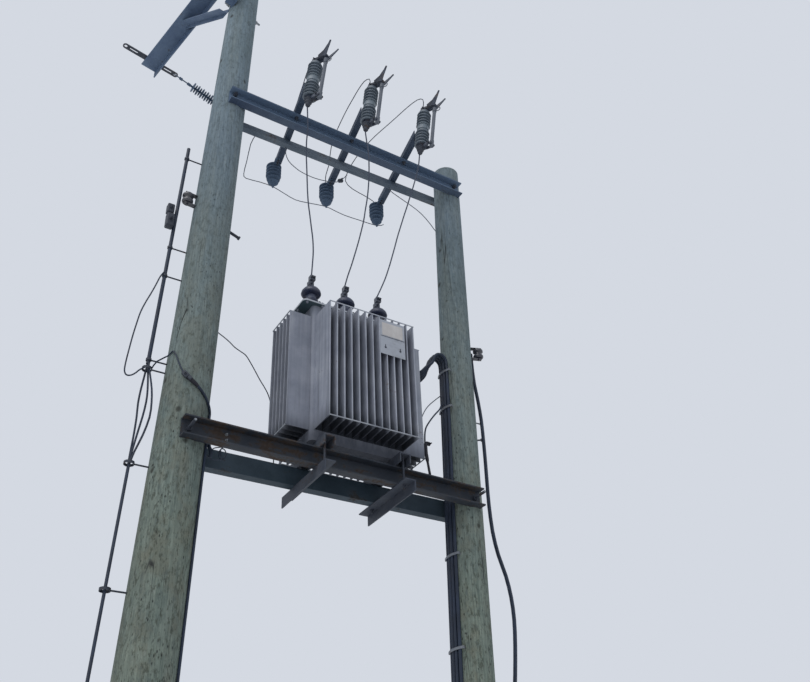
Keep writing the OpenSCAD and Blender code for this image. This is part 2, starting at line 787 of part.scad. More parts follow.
module cutout_metal() {
    half = porcelain_l / 2;
    cap_r = 30;
    for (end = [0, 1]) {
        mirror([0, 0, end])
            translate([0, 0, half - eps])
                cylinder(h = cap_h, r = cap_r, $fn = fine);
    }
    translate([-18, -tube_offset - 22, half + cap_h - eps])
        cube([36, tube_offset + 56, 6]);
    translate([-22, -24, half + cap_h - eps])
        cube([44, 50, 30]);
    for (side = [0, 1]) {
        mirror([side, 0, 0])
            cutout_horn(half + cap_h);
    }
    for (x = [-cheek_gap / 2 - cheek_t, cheek_gap / 2]) {
        translate([x, -tube_offset, hinge_z])
            hinge_cheek();
    }
    translate([-cheek_gap / 2 - cheek_t, 45 - tube_offset, -half - cap_h - 8])
        cube([cheek_gap + 2 * cheek_t, tube_offset - 25, 8 + eps]);
    translate([0, 12, -half - cap_h - terminal_h])
        cylinder(h = terminal_h, r1 = 7, r2 = 20, $fn = round_fn);
}

// Two horns rise from the top contact and spread towards the front.
module cutout_horn(base) {
    translate([17, -tube_offset - 10, base])
        rotate([27, 14, 0])
            rotate([90, 0, 90])
                linear_extrude(height = 8)
                    polygon([[0, 0], [34, 0], [30, 40], [16, 132], [6, 132], [4, 50]]);
}

module hinge_cheek() {
    difference() {
        union() {
            rotate([0, 90, 0])
                cylinder(h = cheek_t, r = 14, $fn = round_fn);
            translate([0, 0, -14])
                cube([cheek_t, 60, 28]);
        }
        translate([-1, 0, 0])
            rotate([0, 90, 0])
                cylinder(h = cheek_t + 2, d = hinge_pin_d + 2 * hinge_clearance, $fn = round_fn);
    }
}

module cutout(i) {
    color(porcelain_grey)
        cutout_frame(i) {
            cutout_porcelain();
            cutout_metal();
        }
    color(galvanised)
        arm_at(i)
            translate([-arm_leg / 2 + angle_t + 2, -arm_l / 2 - cutout_reach, angle_t])
                cube([arm_leg - angle_t - 4, cutout_reach + 60, 8]);
}

// The carrier turns on the pin at its lower end, and its head drops to the front.
module fuse_carrier(i) {
    top = porcelain_l / 2 + cap_h - 6;
    ferrule_r = cheek_gap / 2 - 2;
    color([0.35, 0.36, 0.36])
        cutout_frame(i)
            translate([0, -tube_offset, 0]) {
                translate([0, 0, hinge_z - 26])
                    cylinder(h = 60, r = ferrule_r, $fn = round_fn);
                translate([0, 0, hinge_z])
                    cylinder(h = top - hinge_z, d = tube_d, $fn = round_fn);
                translate([0, 0, top - 42])
                    cylinder(h = 42, r = 17, $fn = round_fn);
                translate([-cheek_gap / 2 - cheek_t - 4, 0, hinge_z])
                    rotate([0, 90, 0])
                        cylinder(h = cheek_gap + 2 * cheek_t + 8, d = hinge_pin_d, $fn = round_fn);
                translate([0, -34, top - 24])
                    rotate([0, 90, 0])
                        rotate_extrude($fn = round_fn)
                            translate([17, 0])
                                circle(d = 7, $fn = 16);
            }
}

// A plate under the arm's end carries the arrester, which stands through it.
module arrester(i) {
    stud = 15;
    color(dark)
        arm_at(i)
            translate([-18, arm_l / 2 + 22, arrester_rise]) {
                rotate_extrude($fn = fine)
                    arrester_profile();
                translate([0, 0, -eps])
                    cylinder(h = stud, d = 12, $fn = round_fn);
            }
    color(galvanised)
        arm_at(i)
            translate([-38, arm_l / 2 - 110, -6])
                cube([40, 160, 6]);
}

// Six sheds narrow towards the lower end, where the earth terminal is.
module arrester_profile() {
    count = 6;
    step = (arrester_h - 40) / count;
    core = 30;
    polygon([
        [0, 0], [core, 0],
        for (k = [0 : count - 1])
            let (z = -4 - k * step, r = arrester_d / 2 * (k < 4 ? 1 : 1.6 - 0.18 * k))
                each [[core, z], [r, z - step * 0.3], [r, z - step * 0.5], [core, z - step * 0.8]],
        [core - 6, -6 - count * step], [18, -14 - count * step], [8, 10 - arrester_h], [8, -arrester_h],
        [0, -arrester_h]
    ]);
}

// The line crossarm's frame has the left pole's face at x = 0 and runs along Y.
module at_line() {
    translate([left_x(line_level) - left_r(line_level) + seat_depth, 0, line_level])
        rotate([0, 0, line_arm_turn])
            children();
}

module line_hole() {
    at_line()
        translate([0, 0, -line_arm_drop / 2])
            rotate([0, 90, 0])
                cylinder(h = bolt_reach, d = bolt_d + hole_gap, center = true, $fn = round_fn);
}

module line_seat() {
    reach = 400;
    at_line()
        translate([-reach, -reach, -line_arm_drop])
            cube([reach, 2 * reach, line_arm_drop + line_arm_t + seat_gap]);
    line_hole();
}

// One bolt holds the line crossarm, with a square washer on the pole's round side.
module line_bolt() {
    tail = washer_t + nut_h + bolt_tail;
    across = 2 * left_r(line_level) - seat_depth + washer_t;
    square_washer = 60;
    at_line()
        translate([0, 0, -line_arm_drop / 2])
            rotate([0, 90, 0]) {
                translate([0, 0, -line_arm_t - tail])
                    cylinder(h = line_arm_t + across + 2 * tail, d = bolt_d, $fn = round_fn);
                translate([0, 0, -line_arm_t - washer_t])
                    cylinder(h = washer_t, d = bolt_d * 1.6, $fn = round_fn);
                translate([0, 0, -line_arm_t - washer_t - nut_h])
                    cylinder(h = nut_h, d = bolt_d * 1.7, $fn = 6);
                translate([-square_washer / 2, -square_washer / 2, across])
                    cube([square_washer, square_washer, washer_t]);
                translate([0, 0, across + washer_t])
                    cylinder(h = nut_h, d = bolt_d * 1.7, $fn = 6);
            }
}

module line_crossarm() {
    color(steel)
        difference() {
            at_line()
                translate([0, -line_arm_l / 2, 0]) {
                    translate([-line_arm_w, 0, 0])
                        cube([line_arm_w, line_arm_l, line_arm_t]);
                    translate([-line_arm_t, 0, -line_arm_drop + line_arm_t])
                        cube([line_arm_t, line_arm_l, line_arm_drop]);
                }
            line_hole();
        }
}

// Each brace is an angle that rises from the pole's face to the crossarm's underside.
module line_brace(side) {
    length = norm([brace_reach, brace_drop]);
    brace_t = 6;
    spare = 120;
    translate([-28, side * 45, -brace_drop])
        rotate([-side * atan(brace_reach / brace_drop), 0, 0]) {
            translate([-brace_leg, -brace_t / 2, -spare])
                cube([brace_leg, brace_t, length + 2 * spare]);
            translate([-brace_t, -brace_leg / 2, -spare])
                cube([brace_t, brace_leg, length + 2 * spare]);
        }
}

module line_braces() {
    color(steel)
        for (side = [-1, 1]) {
            difference() {
                at_line()
                    intersection() {
                        line_brace(side);
                        translate([-line_arm_w, side > 0 ? brace_gap : -line_arm_l / 2, -brace_drop])
                            cube([line_arm_w - line_arm_t, line_arm_l / 2 - brace_gap, brace_drop]);
                    }
                leaning_cone(left_base_d, left_top_d, left_pole_height);
            }
        }
}

// A strap lies across the crossarm, with a slot and a round eye at each end.
module line_strap() {
    half = line_arm_w / 2 + strap_reach;
    eye_r = 15;
    translate([-strap_shift, 0, 0])
        difference() {
            strap_blank(half);
            for (side = [-1, 1]) {
                translate([side * (half - strap_w / 2), 0, -1])
                    cylinder(h = 12, r = eye_r, $fn = round_fn);
                translate([side * (half - strap_w - 55) - 40, -8, -1])
                    cube([80, 16, 12]);
            }
        }
}

module strap_blank(half) {
    translate([strap_w / 2 - half, -strap_w / 2, 0])
        cube([2 * half - strap_w, strap_w, 10]);
    for (x = [strap_w / 2 - half, half - strap_w / 2]) {
        translate([x, 0, 0])
            cylinder(h = 10, d = strap_w, $fn = round_fn);
    }
}

module string_at(y) {
    at_line()
        translate([-line_arm_w / 2, y, line_arm_t])
            children();
}

module line_straps() {
    color(galvanised)
        for (y = string_places) {
            string_at(y)
                line_strap();
        }
}

// A link, an eye, a rod with thin sheds and a clamp hang in line, tilted down by their weight.
module line_insulator() {
    count = 10;
    pitch = 25;
    first = 204;
    translate([line_arm_w / 2 + strap_reach - strap_w / 2 - strap_shift, 0, 5])
        rotate([0, 98, 0]) {
            translate([0, 0, -16])
                cylinder(h = 80, d = 11, $fn = round_fn);
            translate([-13, -7, 50])
                cube([26, 14, 34]);
            translate([0, 0, 78])
                cylinder(h = 70, d = 12, $fn = round_fn);
            translate([-10, -10, 140])
                cube([20, 20, 36]);
            translate([0, 0, 170])
                cylinder(h = string_l - 200, d = 20, $fn = round_fn);
            for (k = [0 : count - 1]) {
                translate([0, 0, first + k * pitch])
                    cylinder(h = 5, d = k % 2 == 0 ? string_d : string_d - 16, $fn = round_fn);
            }
            translate([-14, -9, string_l - 60])
                cube([28, 18, 60]);
        }
}

module line_insulators() {
    color(dark)
        for (y = string_places) {
            string_at(y)
                line_insulator();
        }
}

// A tube runs through its points in smooth bends, with two rings for each point.
function bend(points, s) =
    let (last = len(points) - 1, i = min(floor(s), last - 1), f = s - i,
         a = points[max(i - 1, 0)], b = points[i], c = points[i + 1], d = points[min(i + 2, last)])
    b + f * ((c - a) / 2 + f * ((a - 2.5 * b + 2 * c - d / 2) + f * (b * 1.5 - c * 1.5 + (d - a) / 2)));

function along(points, i) =
    let (last = len(points) - 1,
         step = points[min(i + 1, last)] - points[max(i - 1, 0)])
    step / norm(step);

function ring(centre, tangent, side, r) =
    let (u = cross(tangent, side) / norm(cross(tangent, side)), v = cross(u, tangent))
    [for (k = [0 : tube_sides - 1])
        centre + r * (cos(k * 360 / tube_sides) * u + sin(k * 360 / tube_sides) * v)];

module tube(route, d, side) {
    points = [for (s = [0 : (len(route) - 1) * tube_steps]) bend(route, s / tube_steps)];
    last = len(points) - 1;
    n = tube_sides;
    corners = [for (i = [0 : last]) each ring(points[i], along(points, i), side, d / 2)];
    walls = [for (i = [0 : last - 1], k = [0 : n - 1])
        let (a = i * n + k, b = i * n + (k + 1) % n)
        each [[a, b, b + n], [a, b + n, a + n]]];
    start = [for (k = [n - 1 : -1 : 0]) k];
    finish = [for (k = [0 : n - 1]) last * n + k];
    polyhedron(points = corners, faces = concat([start, finish], walls));
}

module rod(a, b, d) {
    v = b - a;
    translate(a)
        rotate([0, acos(v[2] / norm(v)), atan2(v[1], v[0])])
            cylinder(h = norm(v), d = d, $fn = round_fn);
}

module hv_lead(i) {
    color(dark)
        tube(hv_routes[i - 1], hv_lead_d, [1, 0, 0]);
}

module lv_tail(i) {
    color(dark)
        tube(lv_routes[i - 1], lv_cable_d, [0, 1, 0]);
}

module tap_loop() {
    color(dark)
        tube(tap_route, tap_d, [0, 1, 0]);
}

module tank_lead() {
    color(dark)
        tube(lead_route, wire_d, [0, 1, 0]);
}

module arrester_jumpers() {
    color(dark)
        for (route = jumper_routes) {
            tube([for (p = route) [crossarm_middle + p[0], p[1] * arm_l / jumper_arm_l, upper_level + p[2]]],
                wire_d, [0.2, 0.1, 1]);
        }
}

// The right pole's earth wire is stapled down its far side to the ground.
module earth_wires() {
    r = wire_d / 2 + 1;
    color(galvanised) {
        for (route = earth_routes) {
            tube(route, wire_d, [0.3, -0.9, 0.3]);
        }
        rod(right_face(3, 40, r), right_face(earth_top, 40, r), wire_d);
    }
}

function left_face(z, azimuth, out) =
    [left_x(z) + (left_r(z) + out) * cos(azimuth), (left_r(z) + out) * sin(azimuth), z];

function right_face(z, azimuth, out) =
    [right_x(z) + (right_r(z) + out) * cos(azimuth), (right_r(z) + out) * sin(azimuth), z];

module right_risers() {
    out = riser_gap + lv_cable_d / 2;
    color(dark) {
        for (a = riser_azimuths) {
            rod(right_face(2, a, out), right_face(lv_top, a, out), lv_cable_d);
        }
        tube([for (p = side_route) p + [pole_spacing, 0, 0]], lv_cable_d + 4, [0, 1, 0]);
    }
}

function trunk_point(z) = [left_x(z) - left_r(z) - clip_reach, 0, z];

module left_riser() {
    core_pitch = core_d + 1;
    color(dark) {
        rod(trunk_point(trunk_end), trunk_point(trunk_top), trunk_d);
        for (route = core_routes) {
            tube(route, core_d, [0, 1, 0]);
        }
        for (side = [-1, 0, 1]) {
            aside = [0, side * core_pitch, 0];
            rod(trunk_point(2) + aside, trunk_point(core_level) + aside, core_d);
        }
    }
}

// The tap cable crosses the left pole's front, thickens at its joint, and goes down.
module front_cable() {
    thin_r = tap_d / 2 + 1;
    joint_r = joint_d / 2 + 1;
    thin = [[-91, -8, 4662], [-75, -45, 4695], left_face(4765, -168, thin_r + 5),
        left_face(4785, -156, thin_r + 2),
        left_face(4755, -146, thin_r), left_face(4700, -136, thin_r), left_face(4655, -128, thin_r),
        left_face(4610, -119, thin_r), left_face(joint_start[0], joint_start[1], thin_r)];
    thick = [for (s = [0 : joint_steps])
        let (p = joint_start + (joint_end - joint_start) * s / joint_steps)
        left_face(p[0], p[1], joint_r)];
    color(dark) {
        tube(thin, tap_d, [1, 1, 0.3]);
        tube(thick, joint_d, [0, 0, 1]);
        rod(left_face(3, joint_end[1], joint_r), left_face(joint_end[0], joint_end[1], joint_r), joint_d);
    }
}

// Clips stand out from the left pole and hold the cables in a band.
module left_clip(z) {
    p = trunk_point(z);
    inner_d = z > trunk_end ? trunk_d + 2 : 3 * core_d + 16;
    band_t = 4;
    difference() {
        union() {
            rod(p + [inner_d / 2, 0, 0], left_face(z, 180, -clip_depth), clip_rod_d);
            translate(p - [0, 0, clip_w / 2])
                cylinder(h = clip_w, d = inner_d + 2 * band_t, $fn = round_fn);
        }
        translate(p - [0, 0, clip_w])
            cylinder(h = 2 * clip_w, d = inner_d, $fn = round_fn);
    }
}

// Straps hold the cables on the right pole, with a foot at each end.
module right_clip(z) {
    out = riser_gap + lv_cable_d + 1;
    strap_t = 3;
    first = riser_azimuths[0] - 13;
    wide = riser_azimuths[len(riser_azimuths) - 1] + 13 - first;
    translate([right_x(z), 0, z - clip_w / 2])
        rotate([0, 0, first]) {
            rotate_extrude(angle = wide, $fn = fine)
                translate([right_r(z) + out, 0])
                    square([strap_t, clip_w]);
            for (a = [0, wide]) {
                rotate([0, 0, a])
                    translate([right_r(z) - clip_depth, -strap_t / 2, 0])
                        cube([clip_depth + out + strap_t, strap_t, clip_w]);
            }
        }
}

// Rods beside the cable on the right pole's other side keep it off the pole.
module side_clip(z) {
    x = lookup(z, [for (i = [len(side_route) - 1 : -1 : 0]) [side_route[i][2], side_route[i][0]]]);
    aside = [0, lv_cable_d / 2 + 2 + clip_rod_d / 2 + 1, 0];
    rod(right_face(z, 0, -clip_depth) + aside, [pole_spacing + x + lv_cable_d, 0, z] + aside, clip_rod_d);
}

module cable_clips() {
    color(galvanised) {
        for (z = left_clips) {
            left_clip(z);
        }
        for (z = right_clips) {
            right_clip(z);
        }
        for (z = side_clips) {
            side_clip(z);
        }
    }
}

// A spool on a pin stands between two plates that are fixed to the pole.
module service_insulator() {
    plate_gap = 44;
    plate_wide = 36;
    for (z = [-plate_gap - 4, plate_gap]) {
        translate([-spool_reach - clip_depth, -plate_wide / 2, z])
            cube([spool_reach + clip_depth + 24, plate_wide, 4]);
    }
    cylinder(h = 2 * plate_gap + 28, d = 12, center = true, $fn = round_fn);
    spool();
}

module service_insulators() {
    color(dark) {
        translate(left_face(left_spool_level, -175, spool_reach))
            rotate([0, 0, -175])
                service_insulator();
        translate(right_face(right_spool_level, -20, spool_reach))
            rotate([0, 0, -20])
                service_insulator();
    }
}

module spool() {
    rotate_extrude($fn = fine)
        polygon([[0, -40], [30, -40], [38, -30], [38, -18], [24, -6], [24, 6], [38, 18], [38, 30], [30, 40],
            [0, 40]]);
}

left_pole();
right_pole();
platform_beam_near();
platform_beam_far();
upper_crossarm_near();
upper_crossarm_far();
pole_bolts();
tank_body();
tank_lid();
fin_bank_near();
fin_bank_far();
fin_bank_left();
fin_bank_right();
rating_plate();
skids();
clamp_angles();
clamp_rods();
hv_bushings();
lv_bushings();
fuse_arms();
cutout(1);  // cutout_1
cutout(2);  // cutout_2
cutout(3);  // cutout_3
fuse_carrier(1);  // fuse_carrier_1
fuse_carrier(2);  // fuse_carrier_2
fuse_carrier(3);  // fuse_carrier_3
arrester(1);  // arrester_1
arrester(2);  // arrester_2
arrester(3);  // arrester_3
line_crossarm();
line_braces();
line_straps();
line_insulators();
hv_lead(1);  // hv_lead_1
hv_lead(2);  // hv_lead_2
hv_lead(3);  // hv_lead_3
arrester_jumpers();
earth_wires();
lv_tail(1);  // lv_tail_1
lv_tail(2);  // lv_tail_2
lv_tail(3);  // lv_tail_3
lv_tail(4);  // lv_tail_4
right_risers();
left_riser();
tap_loop();
tank_lead();
front_cable();
cable_clips();
service_insulators();
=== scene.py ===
import math

import bpy
import numpy as np
from mathutils import Matrix, Vector


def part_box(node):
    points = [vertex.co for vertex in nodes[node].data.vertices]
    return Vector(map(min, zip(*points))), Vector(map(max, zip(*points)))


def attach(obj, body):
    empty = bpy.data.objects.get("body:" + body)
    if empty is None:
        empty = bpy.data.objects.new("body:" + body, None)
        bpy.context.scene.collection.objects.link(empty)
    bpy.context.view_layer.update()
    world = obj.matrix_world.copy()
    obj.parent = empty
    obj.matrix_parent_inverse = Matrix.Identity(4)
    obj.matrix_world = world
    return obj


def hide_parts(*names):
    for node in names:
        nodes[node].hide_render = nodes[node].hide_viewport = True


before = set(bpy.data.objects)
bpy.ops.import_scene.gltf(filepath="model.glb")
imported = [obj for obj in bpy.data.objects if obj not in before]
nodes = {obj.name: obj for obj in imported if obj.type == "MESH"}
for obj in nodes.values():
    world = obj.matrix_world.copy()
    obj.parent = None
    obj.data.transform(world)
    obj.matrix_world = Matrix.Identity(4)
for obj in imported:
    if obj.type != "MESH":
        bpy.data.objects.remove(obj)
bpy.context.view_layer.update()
scene = bpy.context.scene
STRUCTURE = "structure"
UP, DOWN, FRONT = (0.0, 0.0, 1.0), (0.0, 0.0, -1.0), (0.0, -1.0, 0.0)

# Camera at the photograph's viewing angle, from the ground in front of the left pole

IMAGE_WIDTH = 810.0
FOCAL_PIXELS = 916.9
SENSOR = 36.0
CAMERA_AT = (-1.269, -4.620, 1.604)
YAW, PITCH, ROLL = (math.radians(a) for a in (32.84, 35.04, -2.82))
SEEN_DEPTH = 200.0


def make_camera():
    """The view turns by YAW from +Y towards +X and rises by PITCH; ROLL turns the frame about it."""
    forward = Vector((math.sin(YAW) * math.cos(PITCH), math.cos(YAW) * math.cos(PITCH), math.sin(PITCH)))
    level = Vector((math.cos(YAW), -math.sin(YAW), 0.0))
    upward = level.cross(forward)
    right = level * math.cos(ROLL) + upward * math.sin(ROLL)
    up = upward * math.cos(ROLL) - level * math.sin(ROLL)
    turn = Matrix((right, up, -forward)).transposed().to_4x4()
    data = bpy.data.cameras.new("camera")
    data.sensor_fit = "HORIZONTAL"
    data.sensor_width = SENSOR
    data.lens = FOCAL_PIXELS / IMAGE_WIDTH * SENSOR
    data.clip_end = SEEN_DEPTH
    camera = bpy.data.objects.new("camera", data)
    camera.matrix_world = Matrix.Translation(CAMERA_AT) @ turn
    scene.collection.objects.link(camera)
    scene.camera = camera


make_camera()

# Places that the shaders and the fittings share, in metres


def corners(node):
    """A node's lowest and highest corner."""
    return [np.array(corner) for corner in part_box(node)]


POLE_SPACING = 2.0
POLE_FOOT_RADIUS, POLE_TOP_RADIUS, POLE_TOP = 0.177, 0.11, 9.3
LEAN = math.tan(math.radians(1.7))
ARMS = (1, 2, 3)
ARM_MIDDLE = np.array([1.2284, 0.0, 7.19])
ARM_PITCH = 0.49
ARM_TURN = math.radians(-9.5)
ARM_END = 0.44
NEAR_CROSSARM_Y = -0.138
CUTOUT_AT = (0.022, -ARM_END - 0.07, 0.01)
CUTOUT_TURN, CUTOUT_LEAN = math.radians(27.0), math.radians(8.0)
PORCELAIN_HALF, PORCELAIN_R = 0.18, 0.056
HORN_SPLAY, HORN_LEAN = math.radians(14.0), math.radians(27.0)
LID_LOW, LID_HIGH = corners("tank_lid")
LID_MIDDLE = (LID_LOW + LID_HIGH) / 2
LID_TOP = float(LID_HIGH[2])
HV_SHIFT, HV_ROW, HV_PITCH = -0.07, -0.095, 0.265
LV_ROW, LV_PITCH = 0.095, 0.13
BRACE_LEVEL = 8.345
WEB_DEPTH = 0.062
LINE_ARM_TURN = math.radians(10.5)


def turned(angle, point):
    """The point turned about Z: (x cos a - y sin a, x sin a + y cos a, z)."""
    x, y, z = point
    return np.array([x * math.cos(angle) - y * math.sin(angle), x * math.sin(angle) + y * math.cos(angle), z])


def at_arm(number, point):
    """A point given on a fuse arm, whose own Y runs along the arm, in the shared frame."""
    return turned(ARM_TURN, point) + ARM_MIDDLE + np.array([(number - 2) * ARM_PITCH, 0.0, 0.0])


def cutout_frame(number):
    """A cutout's turn, first leant and then turned about Z, and the middle of its porcelain."""
    turn = Matrix.Rotation(CUTOUT_TURN, 3, "Z") @ Matrix.Rotation(CUTOUT_LEAN, 3, "X")
    return turn, Vector(at_arm(number, CUTOUT_AT))


def bushing_foot(step):
    """The middle of a high voltage bushing's foot on the lid, the step -1, 0 or 1 along the row."""
    return np.array([LID_MIDDLE[0] + HV_SHIFT + step * HV_PITCH, LID_MIDDLE[1] + HV_ROW, LID_TOP])


def pole_radius(level):
    """The left pole's radius, falling evenly from the foot to the top."""
    return POLE_FOOT_RADIUS - (POLE_FOOT_RADIUS - POLE_TOP_RADIUS) * level / POLE_TOP


def on_left_pole(level, azimuth, out=0.0):
    """A point that far out of the left pole's surface, its azimuth in degrees from +X towards +Y."""
    reach = pole_radius(level) + out
    a = math.radians(azimuth)
    return np.array([level * LEAN + reach * math.cos(a), reach * math.sin(a), level])


# Surfaces as numpy arrays

SMOOTH_BELOW = math.radians(35)
PATH_STEPS = 4


def grid_faces(rows, columns, wrap):
    """Quads between neighbouring rows and columns; with wrap the last column meets the first."""
    across = columns if wrap else columns - 1
    i, j = np.meshgrid(np.arange(rows - 1), np.arange(across), indexing="ij")
    k = (j + 1) % columns
    near, far = i * columns, (i + 1) * columns
    return np.stack([near + j, near + k, far + k, far + j], -1).reshape(-1, 4)


def unit(v):
    """Each vector divided by its length."""
    v = np.asarray(v, float)
    return v / np.linalg.norm(v, axis=-1, keepdims=True)


def axis_frame(axis):
    """Two directions across the axis, so that the three make a right-handed set."""
    axis = unit(axis)
    helper = np.array([0.0, 0.0, 1.0]) if abs(axis[2]) < 0.9 else np.array([1.0, 0.0, 0.0])
    u = unit(np.cross(helper, axis))
    return u, np.cross(axis, u), axis


def smooth_path(points, steps):
    """Catmull-Rom: each stretch is a cubic whose end slopes are half the step between the neighbours."""
    p = np.asarray(points, float)
    q = np.vstack([p[:1], p, p[-1:]])
    s = np.linspace(0.0, len(p) - 1, (len(p) - 1) * steps + 1)
    i = np.minimum(s.astype(int), len(p) - 2)
    f = (s - i)[:, None]
    a, b, c, d = q[i], q[i + 1], q[i + 2], q[i + 3]
    return b + f * ((c - a) / 2 + f * (a - 2.5 * b + 2 * c - d / 2 + f * (1.5 * b - 1.5 * c + (d - a) / 2)))


def carried_frames(path):
    """Tangents of a path, and a side direction that is carried along it with the least twist."""
    t = unit(np.gradient(path, axis=0))
    side = axis_frame(t[0])[0]
    sides = []
    for tangent in t:
        side = unit(side - tangent * np.dot(side, tangent))
        sides.append(side)
    u = np.array(sides)
    return t, u, np.cross(t, u)


def tube(points, radius, sides=12, steps=PATH_STEPS):
    """A circle carried along the smooth path: centre + r (cos a u + sin a v), with flat ends."""
    path = smooth_path(points, steps)
    _, u, v = carried_frames(path)
    a = np.arange(sides) * 2 * math.pi / sides
    r = np.broadcast_to(np.asarray(radius, float), (len(path),))
    circle = np.cos(a)[None, :, None] * u[:, None] + np.sin(a)[None, :, None] * v[:, None]
    ring = path[:, None] + r[:, None, None] * circle
    verts = np.vstack([ring.reshape(-1, 3), path[:1], path[-1:]])
    n = len(path) * sides
    j = np.arange(sides)
    k = (j + 1) % sides
    start = np.stack([k, j, np.full(sides, n)], -1)
    last = (len(path) - 1) * sides
    end = np.stack([last + j, last + k, np.full(sides, n + 1)], -1)
    return verts, [grid_faces(len(path), sides, True), start, end]


def lathe(profile, centre, axis, sides=32):
    """A profile of (radius, height) pairs turned about an axis: centre + r (cos a u + sin a v) + h w."""
    rh = np.asarray(profile, float)
    u, v, w = axis_frame(axis)
    a = np.arange(sides) * 2 * math.pi / sides
    ring = np.cos(a)[:, None] * u + np.sin(a)[:, None] * v
    verts = np.asarray(centre) + rh[:, 0, None, None] * ring[None] + rh[:, 1, None, None] * w
    faces = [grid_faces(len(rh), sides, True)]
    j = np.arange(sides)
    if rh[0, 0] > 0:
        faces.append(j[::-1][None])
    if rh[-1, 0] > 0:
        faces.append(((len(rh) - 1) * sides + j)[None])
    return verts.reshape(-1, 3), faces


def block(centre, size, axes=np.eye(3), chamfer=0.08):
    """A box whose edges are cut: an octagon of half sizes carried through four heights."""
    half = np.asarray(size, float) / 2
    c = chamfer * half.min()
    x, y, z = half
    outline = np.array([(x, c - y), (x, y - c), (x - c, y), (c - x, y),
                        (-x, y - c), (-x, c - y), (c - x, -y), (x - c, -y)])
    inner = outline * (1 - c / np.array([x, y]))
    layers = [(inner, -z), (outline, c - z), (outline, z - c), (inner, z)]
    local = np.vstack([np.column_stack([o, np.full(8, h)]) for o, h in layers])
    verts = np.asarray(centre) + local @ np.asarray(axes, float)
    return verts, [grid_faces(4, 8, True), np.arange(8)[::-1][None], (24 + np.arange(8))[None]]


def sheet(outline, thick, at, axes):
    """A flat plate: an outline in the first two axes carried through its thickness along the third."""
    flat = np.asarray(outline, float)
    n = len(flat)
    local = np.vstack([np.column_stack([flat, np.full(n, h)]) for h in (-thick / 2, thick / 2)])
    verts = np.asarray(at) + local @ np.asarray(axes, float)
    return verts, [grid_faces(2, n, True), np.arange(n)[::-1][None], (n + np.arange(n))[None]]


def make_piece(name, parts, finish):
    """Joins surfaces into one mesh, gives it its finish and lets it ride on the structure."""
    verts, faces, start = [], [], 0
    for v, groups in parts:
        verts.append(v)
        for g in groups:
            faces.extend((g + start).tolist())
        start += len(v)
    mesh = bpy.data.meshes.new(name)
    mesh.from_pydata(np.vstack(verts).tolist(), [], faces)
    mesh.materials.append(finish)
    mesh.shade_smooth()
    mesh.set_sharp_from_angle(angle=SMOOTH_BELOW)
    piece = bpy.data.objects.new(name, mesh)
    scene.collection.objects.link(piece)
    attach(piece, STRUCTURE)
    return piece


# Finishes


def colour(r, g, b):
    """A colour from its three display levels, 0 to 255, as linear light."""
    levels = np.array([r, g, b]) / 255.0
    linear = np.where(levels <= 0.04045, levels / 12.92, ((levels + 0.055) / 1.055) ** 2.4)
    return (*linear.tolist(), 1.0)


def colours(*shades):
    """Several colours from their display levels."""
    return [colour(*levels) for levels in shades]


def darker(shade, share):
    """The colour at a share of its light."""
    return tuple(c * share for c in shade[:3]) + (1.0,)


# A channel's wall, and the width over which the painted light on its web fades out
WALL, FADE = 0.004, 0.001
# Painted light for the shaded web inside a channel: a pale blue-grey, and how much of it is laid on
PAINTED_WEB_LIGHT = colour(112, 134, 160)
PAINTED_WEB_LIGHT_SHARE = 0.45


